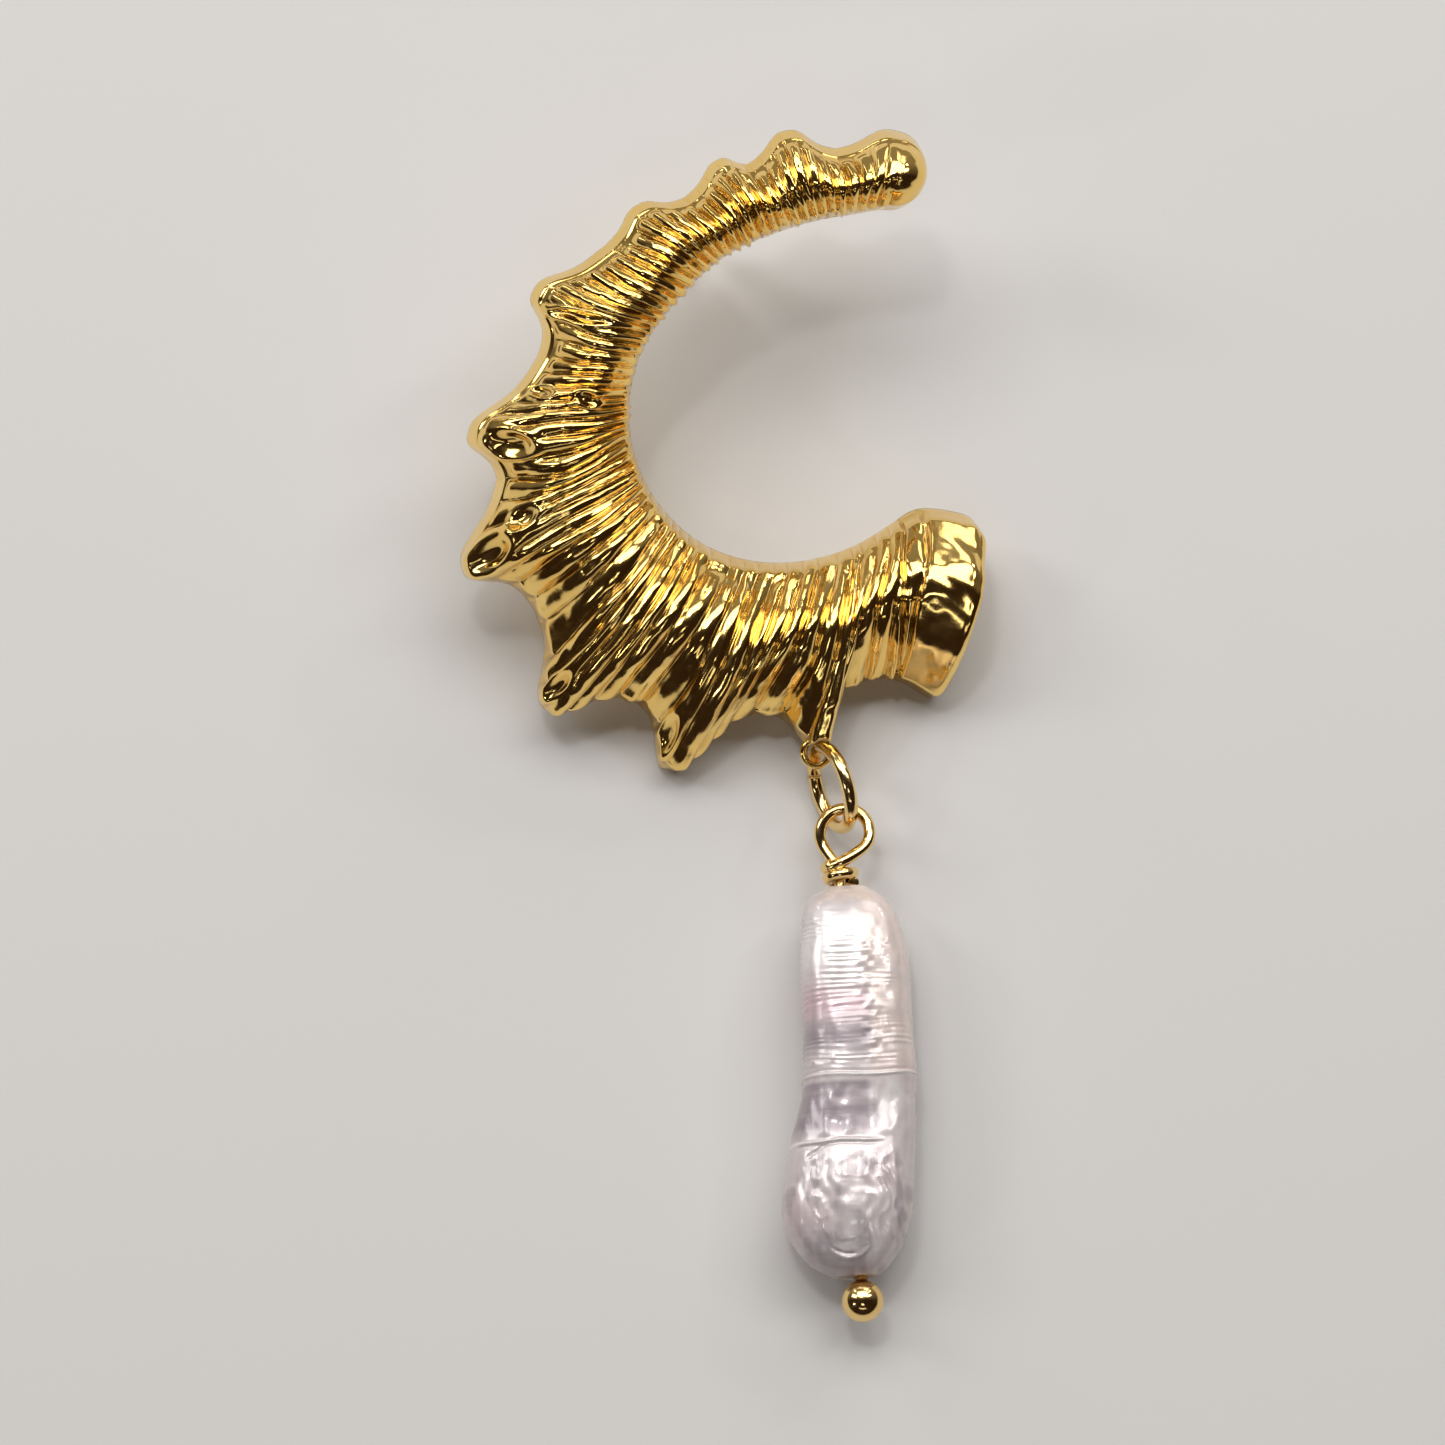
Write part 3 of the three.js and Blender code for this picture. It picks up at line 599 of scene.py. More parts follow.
def gold(name, colour, deep, rough, ripple):
    """Polished plating over cast or drawn metal, duller down in its hollows, where painted shade
    also makes it browner.
    """
    n = Nodes(name)
    wide = n.noise(scale=420.0, detail=3.0)
    fine = n.noise(scale=2600.0, detail=5.0, roughness=0.6)
    grain = n.noise(scale=9000.0, detail=4.0, roughness=0.6)
    pointiness = n.add("ShaderNodeNewGeometry").outputs["Pointiness"]
    hollow = n.span(pointiness, low=0.40, high=0.50, to=(1.0, 0.0))
    tone = n.mix(n.span(wide, low=0.35, high=0.7), colour, deep)
    # Painted shade: hollows, found by the mesh's pointiness, are darkened towards brown.
    tone = n.mix(n.math("MULTIPLY", hollow, HOLLOW_SHADE_SHARE), tone, HOLLOW_SHADE_COLOUR)
    roughness = n.span(fine, low=0.3, high=0.75, to=(rough * 0.75, rough * 1.5))
    roughness = n.math("ADD", roughness, n.math("MULTIPLY", hollow, HOLLOW_ROUGHNESS))
    rippled = n.bump(wide, strength=0.35, distance=0.00006 * ripple)
    rippled = n.bump(fine, strength=0.30, distance=0.000018 * ripple, normal=rippled)
    rippled = n.bump(grain, strength=0.25, distance=0.000004, normal=rippled)
    n.set(Base_Color=tone, Metallic=1.0, Roughness=roughness, Normal=rippled)
    return n.material


def nacre():
    """Lustrous nacre: tones in soft zones, among them painted highlights and painted shade, fine
    growth lines and a thin shining coat.
    """
    n = Nodes("nacre")

    def tone(name):
        return n.add("ShaderNodeAttribute", {"attribute_name": name}).outputs["Fac"]

    cloud = n.noise(scale=500.0, detail=4.0, roughness=0.55)
    long = n.add("ShaderNodeMapping", Vector=n.place, Scale=(0.5, 5.0, 0.5)).outputs["Vector"]
    streaks = n.noise(scale=260.0, detail=4.0, roughness=0.6, vector=long)
    mottle = n.noise(scale=1500.0, detail=5.0, roughness=0.65)
    colour = n.mix(n.span(cloud, low=0.3, high=0.7), *NACRE_CLOUDS)
    for layer in NACRE_LAYERS:
        share = n.math("MULTIPLY", tone(layer.tone), layer.share)
        colour = n.mix(share, colour, layer.colour)
    colour = n.mix(n.span(streaks, low=0.35, high=0.65, to=(0.0, 0.25)), colour, STREAK_COLOUR)
    colour = n.mix(n.span(mottle, low=0.45, high=0.70, to=(0.0, 0.22)), colour, MOTTLE_COLOUR)
    lines = n.bump(streaks, strength=0.35, distance=0.00003)
    surface = n.bump(mottle, strength=0.30, distance=0.000022, normal=lines)
    n.set(Base_Color=colour, Normal=surface, Roughness=0.28, Metallic=0.14, IOR=1.55)
    # The lilac parts, darkened partly as painted shade, shine less.
    n.set(Specular_IOR_Level=n.span(tone("lilac"), low=0.0, high=1.0, to=(0.7, 0.35)))
    n.set(Coat_Weight=n.span(tone("lilac"), low=0.0, high=1.0, to=(0.6, 0.3)))
    n.set(Specular_Tint=(1.0, 0.95, 0.95, 1.0), Coat_Roughness=0.07, Coat_IOR=1.55)
    n.set(Subsurface_Weight=0.12, Subsurface_Radius=(1.0, 0.75, 0.70), Subsurface_Scale=0.0008)
    return n.material


GOLD = gold("polished_gold", colour=(0.98, 0.70, 0.24, 1), deep=(0.94, 0.61, 0.17, 1),
            rough=0.11, ripple=1.0)
WIRE = gold("gold_wire", colour=(0.95, 0.71, 0.32, 1), deep=(0.90, 0.62, 0.24, 1),
            rough=0.13, ripple=0.5)
NACRE = nacre()


# ---- Hoop ----

def polar(bearing, reach):
    angle = np.radians(bearing)
    return np.stack([np.cos(angle) * reach, np.sin(angle) * reach], -1)


def spike_share(spike, bearing):
    """How much of a spike's rise a bearing has: 1 at its tip, and less on both sides."""
    reach = band(spike.bearing, "base") + spike.rise
    away = np.radians(bearing - spike.bearing) * reach
    width = np.where(away < 0, spike.before, spike.after)
    return 1 / (1 + np.abs(away / width) ** FLANK_POWER)


def outer_reach(bearing):
    rises = [spike.rise * spike_share(spike, bearing) for spike in SPIKES]
    return band(bearing, "base") + np.max(rises, 0)


def inner_point(bearing):
    inner = band(bearing, "inner")
    return polar(inner, band(inner, "hole", key="inner"))


def profile():
    """The cross-section's points in order, each with its kind and its fraction of the way."""
    steps = dict(back=BACK_STEPS, inner_edge=BEND_STEPS, inner_wall=WALL_STEPS,
                 front=FRONT_STEPS, outer_wall=WALL_STEPS, outer_edge=BEND_STEPS)
    return [(kind, k / count) for kind, count in steps.items() for k in range(count)]


def front_height(bearing, across):
    crest, rim, shelf = (band(bearing, c) for c in ("crest", "rim", "shelf"))
    edge = shelf + sum((spike.tip - shelf) * spike_share(spike, bearing) for spike in SPIKES)
    inside = across < CREST_PLACE
    foot = np.where(inside, rim, edge)
    turn = np.where(inside, 1 - across / CREST_PLACE, (across - CREST_PLACE) / (1 - CREST_PLACE))
    return foot + (crest - foot) * np.cos(turn * QUARTER)


def section(bearing, width):
    """Places on the smooth cross-section for one column of bearings: x, z and across."""
    lift = UNDERCUT.lift * spike_share(SPIKES[HANGING_SPIKE], bearing) ** 2
    inner, outer = np.zeros_like(width), np.ones_like(width)

    def underside(x):
        return lift * ramp(x, width - UNDERCUT.start, width - UNDERCUT.end)

    columns = []
    for kind, t in profile():
        round_in = BACK_EDGE * (1 - math.sin(t * QUARTER))
        round_out = BACK_EDGE * (1 - math.cos(t * QUARTER))
        if kind == "back":
            x = lerp(width - BACK_EDGE, BACK_EDGE, t)
            z, across = underside(x), inner + (1 - t)
        elif kind == "inner_edge":
            x, z, across = inner + round_in, inner + round_out, inner
        elif kind == "inner_wall":
            x, across = inner + WALL_DRAUGHT * t, inner
            z = lerp(BACK_EDGE, front_height(bearing, inner), t)
        elif kind == "front":
            across = inner + lerp(t, (1 - math.cos(t * math.pi)) / 2, FRONT_CROWDING)
            x = lerp(WALL_DRAUGHT, width - WALL_DRAUGHT, across)
            z = front_height(bearing, across)
        elif kind == "outer_wall":
            x, across = width - WALL_DRAUGHT * (1 - t), outer
            z = lerp(front_height(bearing, outer), BACK_EDGE + underside(width), t)
        else:
            x, across = width - round_out, outer
            z = underside(x) + round_in
        columns.append((x, z, across))
    return [np.stack([c[k] for c in columns], 1) for k in range(3)]


def before_lip(bearing):
    """How far back from the band's end a bearing is, along its outer side."""
    return np.radians(BAND_END - bearing) * LIP_REACH


def rib_waves(turn, across, along, outside):
    """The ribs' and the finer ribs' heights, as shares of a rib. turn counts the ribs."""
    rib = np.floor(turn)
    strength = (RIB.strength + field("strength", rib, across)
                + field("fine_strength", rib, outside))
    ridge = np.sin((turn - rib) * math.pi) ** RIB.sharpness * strength
    finer = turn * FINE_RIB.count + field("fine_rib", along, across)
    finer = FINE_RIB.height * np.abs(np.sin(finer * math.pi)) ** FINE_RIB.sharpness
    return ridge + finer * eased("fine_ribs", field("fine_rib_patches", along, across))


def pits(plan, cover):
    """The relief of the pits, and the ribs' cover with the pits left out."""
    relief = 0.0
    for pit in PITS:
        turn = math.radians(pit.turn)
        c, s = math.cos(turn), math.sin(turn)
        u, v = plan[..., 0] - pit.x, plan[..., 1] - pit.y
        r = np.hypot((u * c + v * s) / pit.long, (v * c - u * s) / pit.short)
        floor = pit.depth * (1 - eased("pit_floor", r))
        relief = relief + pit.rim * bell(r, 1, PIT_RIM_WIDTH) - floor
        cover = cover * lerp(PIT_COVER, 1, eased("pit_outside", r))
    return relief, cover


def lip_grooves(lip, across):
    """The depth of the hollow and the grooves behind the lip's plain band, and how far a
    place is behind them. lip: the distance back from the band's end."""
    start = lerp(*LIP_BAND, eased("lip_band", across)) + field("lip_band", across, 0.7)
    end = lerp(*LIP_HOLLOW, eased("lip_hollow", across)) + field("lip_hollow", across, 2.2)
    behind = ramp(lip, end, end + LIP_HOLLOW_BLEND)
    within = ramp(lip, start + LIP_HOLLOW_START[0], start + LIP_HOLLOW_START[1]) * (1 - behind)
    depth = LIP_HOLLOW_DEPTH * within * (1 + field("lip_depth", lip, across))
    ridge = LIP_RIDGE.height * bell(lip, (start + end) / 2, LIP_RIDGE.width)
    depth = depth - ridge * eased("lip_ridge", across)
    grooves = (bell(lip, start + LIP_GROOVES.offset, LIP_GROOVES.first)
               + bell(lip, end, LIP_GROOVES.second))
    return depth + LIP_GROOVE_DEPTH * grooves, behind


def rib_relief(bearing, across, width, along, phase, plan):
    """Height of the relief above the smooth front, in millimetres."""
    outside, inside = (1 - across) * width, across * width
    lip = before_lip(bearing)
    turn = phase + (field("lean", along, across) + field("fine_lean", along, across))
    ragged = field("ragged", np.floor(turn), 0.5)
    plain_out, plain_in = ribs(bearing, "outside"), ribs(bearing, "inside")
    start = (plain_out + ragged) * PLAIN_OUT.start
    off_outer = lerp(1, ramp(outside, start, start + PLAIN_OUT.blend),
                     eased("outer_edge", plain_out))
    off_inner = ramp(inside, (plain_in + ragged) * PLAIN_IN.start,
                     plain_in + PLAIN_IN.ragged * ragged + PLAIN_IN.blend)
    on_inner = lerp(*INNER_COVER, eased("lower_arm", bearing))
    off_knob = eased("knob", bearing)
    grooves, behind_lip = lip_grooves(lip, across)

    cover = off_outer * lerp(on_inner, 1, off_inner) * behind_lip * lerp(KNOB_COVER, 1, off_knob)
    hollows, cover = pits(plan, cover)
    waves = rib_waves(turn, across, along, outside) - RIB.sunk
    relief = waves * ribs(bearing, "height") * cover

    bumps = lumpy("bumps", along, outside) + field("fine_bumps", along, outside)
    bumps = bumps * lerp(EDGE_BUMPS, 1, off_outer)
    hammered = (1 - off_inner) * eased("hammered_edge", inside) * eased("hammered_arm", bearing)
    hammered = np.maximum(hammered, (1 - off_knob) * HAMMERED.knob)
    on_lip = eased("hammered_lip", bearing) * (1 - eased("hammered_front", across))
    hammered = np.maximum(hammered, HAMMERED.lip * on_lip)
    hammered = hammered * lerp(HAMMERED.lip_face, 1, eased("lip_face", lip))
    hammered = lumpy("hammer", along, outside) * hammered
    return relief - EDGE_STEP * (1 - off_outer) + bumps + hammered + hollows - grooves


def relief_share(kind, t, bearing):
    """How much of the relief each part of the cross-section carries."""
    if kind == "front":
        return 1.0
    if kind == "inner_wall":
        return eased("inner_wall_relief", t)
    if kind == "outer_wall":
        plain = eased("plain_wall", ribs(bearing, "outside"))
        return (1 - eased("outer_wall_relief", t)) * (1 - plain)
    return 0.0


def corner_inset(bearing):
    """How far the lip's inner corner is rounded off in plan, close to the band's end."""
    short = np.maximum(LIP_CORNER - before_lip(bearing), 0)
    return LIP_CORNER - np.sqrt(LIP_CORNER ** 2 - short ** 2)


def end_shapes(width):
    """How far each row is shrunk to its middle and moved on, for the knob's round end,
    the lip's rounded edge and the lid that closes it."""
    shrink, advance = np.ones(len(width)), np.zeros(len(width))
    sweep = np.arange(KNOB_ROWS, 0, -1) / KNOB_ROWS * QUARTER * KNOB_SWEEP
    shrink[:KNOB_ROWS] = np.cos(sweep)
    advance[:KNOB_ROWS] = -KNOB_LENGTH * np.sin(sweep)
    lip = KNOB_ROWS + STATIONS + 1
    lid = lip + LIP_ROWS
    turn = np.arange(1, LIP_ROWS + 1) / LIP_ROWS * QUARTER
    edge = 1 - LIP_NARROWING * LIP_ROUND * (1 - np.cos(turn)) / width[lip]
    shrink[lip:lid] = edge
    shrink[lid:] = edge[-1] * (1 - np.arange(1, LID_ROWS + 1) / (LID_ROWS + 0.5))
    advance[lip:lid] = LIP_ROUND * np.sin(turn)
    advance[lid:] = LIP_ROUND
    return shrink, advance


def hoop_rings():
    """The hoop's rows of points from the knob to the lip, with the relief on them."""
    bearing = np.concatenate([np.full(KNOB_ROWS, BAND_START),
                              np.linspace(BAND_START, BAND_END, STATIONS + 1),
                              np.full(LIP_ROWS + LID_ROWS, BAND_END)])
    inner = inner_point(bearing)
    span = polar(bearing, outer_reach(bearing)) - inner
    width = np.linalg.norm(span, axis=1)
    unit = span / width[:, None]
    forward = np.stack([-unit[:, 1], unit[:, 0]], 1)
    x, z, across = section(bearing, width)
    shrink, advance = (values[:, None] for values in end_shapes(width))
    x = lerp((width / 2)[:, None], x, shrink)
    z = lerp((band(bearing, "crest") / 2)[:, None], z, shrink)
    inset = corner_inset(bearing)[:, None]
    x = inset + x * (width[:, None] - inset) / width[:, None]

    share = np.clip((x - inset) / (width[:, None] - inset), 0, 1)
    bow = np.sqrt(np.maximum(4 * share * (1 - share), 0)) * lerp(*LIP_BOW, share)
    lip_share = ramp(bearing, BAND_END - LIP_BLEND, BAND_END)[:, None]
    ahead = advance + LIP_BULGE * lip_share ** 2 * bow
    plan = inner[:, None] + unit[:, None] * x[..., None] + forward[:, None] * ahead[..., None]
    points = np.concatenate([plan, z[..., None]], -1)

    centre = inner + span / 2
    steps = np.linalg.norm(np.diff(centre, axis=0, prepend=centre[:1]), axis=1)
    along = np.cumsum(steps) + ALONG_START
    rib_count = np.cumsum(steps / ribs(bearing, "pitch"))
    carries = [relief_share(kind, t, bearing) + 0 * bearing for kind, t in profile()]
    relief = rib_relief(bearing[:, None], across, width[:, None], along[:, None],
                        rib_count[:, None], plan)
    relief = relief * np.stack(carries, 1) * np.clip(shrink * END_FADE + (1 - END_FADE), 0, 1)
    return points + normals_of(points) * relief[..., None]


def normals_of(points):
    """Normals of a grid of points, outward where its rings run as the hoop's and pearl's."""
    rows = np.gradient(points, axis=0)
    turns = np.roll(points, -1, 1) - np.roll(points, 1, 1)
    normals = np.cross(turns, rows)
    length = np.linalg.norm(normals, axis=-1, keepdims=True)
    return normals / np.maximum(length, 1e-9)


def rest_matrix():
    """Turn that lays the hoop on the post's end and the backs of two spikes."""
    feet = []
    for index in REST_SPIKES:
        bearing = min(SPIKES[index].bearing, BAND_END)
        plan = polar(bearing, outer_reach(bearing) - BACK_EDGE)
        feet.append(Vector((plan[0], plan[1], 0)))
    first, second = feet
    side = (second - first).normalized()
    third = Vector((POST.x, POST.y, 0))
    inward = first - third
    inward = (inward - side * inward.dot(side)).normalized()
    third += inward * POST.diameter / 2
    third.z = -POST.length
    up = (second - first).cross(third - first).normalized()
    turn = up.rotation_difference(Vector((0, 0, 1)))
    floor = (turn @ first).z
    return Matrix.Translation((0, 0, -floor)) @ turn.to_matrix().to_4x4()


def ring_matrix(eye):
    lean, roll = math.radians(RING.lean), math.radians(RING.roll)
    along = Vector((math.cos(lean), math.sin(lean), 0))
    level = Vector((-math.sin(lean), math.cos(lean), 0))
    rising = level * math.cos(roll) + Vector((0, 0, math.sin(roll)))
    height = RING.radius * math.sin(roll) + RING.wire / 2
    sunk = (eye.z - height) / math.sin(roll)
    reach = math.sqrt(RING.radius ** 2 - sunk ** 2)
    centre = eye + along * reach - rising * sunk
    return frame_of(along, rising, along.cross(rising), centre)


def frame_of(x, y, z, place):
    matrix = Matrix((x, y, z)).transposed().to_4x4()
    matrix.translation = place
    return matrix


def pin_matrix(ring):
    bearing = math.radians(PIN_BEARING)
    down = Vector((math.cos(bearing), math.sin(bearing), 0))
    right = Vector((-down.y, down.x, 0))
    far = ring @ Vector((RING.radius, 0, 0))
    hook = (RING.wire + PIN_WIRE) / 2 + LINK_GAP
    top = PIN_LOOP.above + PIN_LOOP.radius - hook
    place = far + down * top - right * (PIN_LOOP.side + PIN_LOOP.hang)
    place.z = PIN_HEIGHT
    return frame_of(right, -down, right.cross(-down), place)


def ring_path(count):
    gap = RING.cut / RING.radius / 2
    start = math.radians(RING.cut_at)
    angle = np.linspace(start + gap, start + TAU - gap, count)
    return np.stack([np.cos(angle), np.sin(angle), 0 * angle], 1) * RING.radius


def eye_rings():
    around, about = angles(EYE_STEPS), angles(EYE_SIDES)
    reach = EYE.radius + EYE.wire / 2 * np.cos(about)[None]
    height = EYE.wire / 2 * np.sin(about)[None] + 0 * around[:, None]
    return np.stack([reach * np.cos(around)[:, None], reach * np.sin(around)[:, None], height], -1)


def make_hoop(rest, ring):
    hoop = closed_rings("hoop_cast", hoop_rings(), rest, GOLD)
    eye = np.array(EYE_PLACE)
    clear, deep = EYE.radius - EYE.wire / 2, EYE.through / 2
    hole = turned_rings([(-deep, clear), (deep, clear)], HOLE_SIDES)
    cut(hoop, "DIFFERENCE", hole + eye, rest)
    cut(hoop, "UNION", eye_rings() + eye, rest, looped=True)
    radius, low, high = POST.diameter / 2, -POST.length, POST.sunk
    post = turned_rings([(low, radius - POST_BEVEL), (low + POST_BEVEL, radius),
                         (high - POST_BEVEL, radius), (high, radius - POST_BEVEL)], POST_SIDES)
    cut(hoop, "UNION", post + np.array([POST.x, POST.y, 0]), rest)
    channel = wire_rings("channel", ring_path, RING.wire / 2 + RING_CLEARANCE)
    cut(hoop, "DIFFERENCE", channel, ring)
    return hoop


# ---- Jump ring and head pin ----

def make_ring(ring):
    rings = wire_rings("ring", ring_path, RING.wire / 2)
    return closed_rings("jump_ring_wire", rings, ring, WIRE)


def pin_loop_path(count):
    share = np.linspace(0, 1, LOOP_STEPS + 1)
    plan = polar(lerp(PIN_LOOP.first, PIN_LOOP.last, share), PIN_LOOP.radius)
    height = lerp(-LOOP_LIFT, LOOP_LIFT, share)
    turned = np.stack([PIN_LOOP.side + plan[:, 0], PIN_LOOP.above + plan[:, 1], height], 1)
    return spline(np.concatenate([LOOP_START, turned, LOOP_END]), count)


def pin_wraps_path(count):
    t = np.linspace(0, 1, count)
    out = WRAP_WAVES.out * np.sin(t * math.pi * WRAP_WAVES.out_turn)
    plan = polar(PIN_WRAPS.start + 360 * t * PIN_WRAPS.turns, PIN_WRAPS.radius + out)
    height = PIN_WRAPS.top - t * PIN_WRAPS.turns * PIN_WRAPS.pitch
    height = height + WRAP_WAVES.up * np.sin(t * WRAP_WAVES.up_turn)
    return np.stack([plan[:, 0], height, plan[:, 1]], 1)


def make_pin(pin):
    radius, ball_radius = PIN_WIRE / 2, BALL_DIAMETER / 2
    stem = wire_rings("stem", straight_path(STEM_TOP, BALL_PLACE), radius)
    body = closed_rings("head_pin_wire", stem, pin, WIRE)
    cut(body, "UNION", wire_rings("loop", pin_loop_path, radius), pin)
    cut(body, "UNION", wire_rings("wraps", pin_wraps_path, radius), pin)
    sweeps = np.linspace(BALL_POLE, math.pi - BALL_POLE, BALL_ROWS)
    ball = turned_rings([(BALL_PLACE + ball_radius * math.cos(s), ball_radius * math.sin(s))
                         for s in sweeps], BALL_SIDES)
    cut(body, "UNION", ball[..., [0, 2, 1]], pin)
    return body


# ---- Pearl ----

PEARL_ROWS, PEARL_SIDES, PEARL_CROWDING = 420, 200, 0.35
PEARL_CREASES = (9.55, 12.75)
# The tones kept on the pearl's points: among them a painted highlight, painted shade round the rim
# and ends, and a lilac that is partly painted shade.
PEARL_TONES = ("lilac", "pink", "cream", "bright", "margin")
GROWTH = Named(height=0.014, pitch=0.26, back_pitch=0.31, middle=0.35, sides=0.75)
SECOND_GROWTH = Named(share=0.5, rate=0.61)
BEADS = Named(x=1.1, sway=0.12, width=0.42)
CREASE_BEND = Named(wave=0.05, rate=1.3, drop=0.06)
BRANCH = Named(x=-1.1, drop=0.55, power=1.2)
WRINKLES = Named(height=0.055, x=-0.3, lean=0.12, along=15)
CRESCENT = Named(along=18.25, rise=0.30, x=-0.55, half=0.8, middle=-0.5)
# Ridges, and furrows where the height is negative: height, distance along from their
# line, and width.
FOLDS = dict(
    first_ridge=(0.09, 0, 0.07), first_furrow=(-0.03, -0.16, 0.07),
    second_ridge=(0.09, 0, 0.07), second_furrow=(-0.05, 0.16, 0.08), branch=(-0.12, 0, 0.08),
    crescent_ridge=(0.08, 0.10, 0.09), crescent_furrow=(-0.08, -0.06, 0.07),
)
END_RELIEF = 0.3
TONE_SHARES = Named(lilac=0.9, veins=0.55, pink=0.3, cream=0.9, top_cream=0.5, bright=0.9,
                   top_margin=0.8, bottom_margin=0.5)
GLINT_WIDTHS = (0.07, 0.08)


def fold(name, along, line):
    """A ridge or furrow beside a line across the pearl."""
    height, offset, width = FOLDS[name]
    return height * bell(along, line + offset, width)


def growth_rings(x, along, front):
    """Rings round the upper half, stronger at its sides, and plain ones on the back."""
    wave = along / GROWTH.pitch + field("ring_sway", x, along)
    wave = wave + field("ring_spacing", 0.7, along)
    second = SECOND_GROWTH.share * np.sin(wave * SECOND_GROWTH.rate * TAU)
    sides = 1 - eased("ring_left", x) + eased("ring_right", x)
    patches = field("ring_patches", x, along) + field("ring_grain", x, along)
    strength = (GROWTH.middle + GROWTH.sides * sides) * eased("rings_show", patches)
    rings = (np.sin(wave * TAU) + second) * strength * zone("growth_rings", along)
    back = along / GROWTH.back_pitch + field("back_sway", x, along)
    return GROWTH.height * (rings + np.sin(back * TAU) * (1 - front))


def beading(x, along):
    """Beads down the right of the upper half, and a row of dots above the first crease."""
    middle = BEADS.x + BEADS.sway * np.sin(along)
    beads = field("beads", x, along) * bell(x, middle, BEADS.width) * zone("beads", along)
    dots = np.maximum(field("dots", x, along), 0) * peak("dots", along)
    return beads + dots * (1 - eased("dots", x))


def creases(x, along, front):
    """The crease all round, and the one on the front with its branch to the left."""
    first = PEARL_CREASES[0] + CREASE_BEND.wave * np.sin(x * CREASE_BEND.rate)
    first = first - CREASE_BEND.drop * eased("crease_bend", x)
    second = PEARL_CREASES[1] + field("crease", x, 0.3)
    branch = second + BRANCH.drop * np.maximum(BRANCH.x - x, 0) ** BRANCH.power
    branch = fold("branch", along, branch) * (1 - eased("branch_in", x)) * eased("branch_out", x)
    second = fold("second_ridge", along, second) + fold("second_furrow", along, second)
    first = fold("first_ridge", along, first) + fold("first_furrow", along, first)
    return first + (zone("second_crease", x) * second + branch) * front


def wrinkles(x, along):
    """Wrinkles on the lower half, and the crescent below them."""
    bent = x + field("wrinkle_bend", along, x) - WRINKLES.lean * (along - WRINKLES.along)
    folds = WRINKLES.height * (1 - np.abs(field("wrinkles", bent, along)) * 2)
    sides = 1 - eased("wrinkled_sides", np.abs(x - WRINKLES.x))
    low = (folds + field("fine_wrinkles", bent, along)) * zone("wrinkles", along) * sides
    arc = CRESCENT.along - CRESCENT.rise * ((x - CRESCENT.x) / CRESCENT.half) ** 2
    crescent = fold("crescent_ridge", along, arc) + fold("crescent_furrow", along, arc)
    return low + crescent * (1 - eased("crescent_sides", np.abs(x - CRESCENT.middle)))


def pearl_relief(x, along, front):
    """Height in millimetres above the smooth pearl. x: distance to the right of the stem.
    front: 1 on the front, 0 on the back."""
    shape = lumpy("lumps", x, along) + lumpy("small_lumps", x, along)
    mid_folds = field("mid_folds", x, along) * zone("mid_folds", along)
    on_front = (beading(x, along) + wrinkles(x, along) + mid_folds) * front
    relief = growth_rings(x, along, front) + shape + creases(x, along, front) + on_front
    return relief * lerp(END_RELIEF, 1, zone("whole", along))


def pearl_tones(x, along, front):
    """How much a point has of each of the nacre's tones, painted highlights and painted shade
    among them.
    """
    shares = TONE_SHARES
    wavy = x + (field("tone_edge", x, along) + field("fine_tone_edge", x, along))
    left = 1 - eased("left_half", wavy)
    # Lilac on the left and in veins low down: partly the nacre's own lilac, partly painted shade
    # standing in for a dark reflection.
    lilac = left * (peak("lilac", along) + zone("lilac", along) * shares.lilac)
    veined = eased("veins", field("veins", x, along) + field("fine_veins", x, along))
    lilac = lilac + shares.veins * eased("low_veins", along) * veined
    clouds = eased("pink_clouds", field("pink_clouds", x, along))
    pink = left * peak("pink", along) + shares.pink * clouds
    cream = eased("right_half", wavy) * (1 - eased("cream_end", along)) * shares.cream
    cream = cream + shares.top_cream * peak("cream", along) * eased("top_cream", x)
    # Painted highlights: glints along the two creases, a patch on the upper left and one on the
    # right shoulder.
    first, second = (bell(along, *line) for line in zip(PEARL_CREASES, GLINT_WIDTHS))
    glints = first * eased("first_glint", x) + second * (1 - eased("second_glint", x))
    bright = shares.bright * (left * peak("top", along) + glints)
    bright = bright + peak("shoulder", along) * peak("shoulder_side", x)
    # Painted shade: darker round the pearl's rim, where it turns away, and at its top and bottom
    # ends.
    half_left, half_right = pearl_side(along, "left"), pearl_side(along, "right")
    edge = np.where(x < 0, -x / half_left, x / half_right)
    margin = eased("margin", edge) + shares.top_margin * (1 - eased("top_margin", along))
    margin = margin + shares.bottom_margin * eased("bottom_margin", along)
    tones = dict(zip(PEARL_TONES, (lilac * front, pink, cream * front, bright * front, margin)))
    return {name: np.clip(value, 0, 1) for name, value in tones.items()}


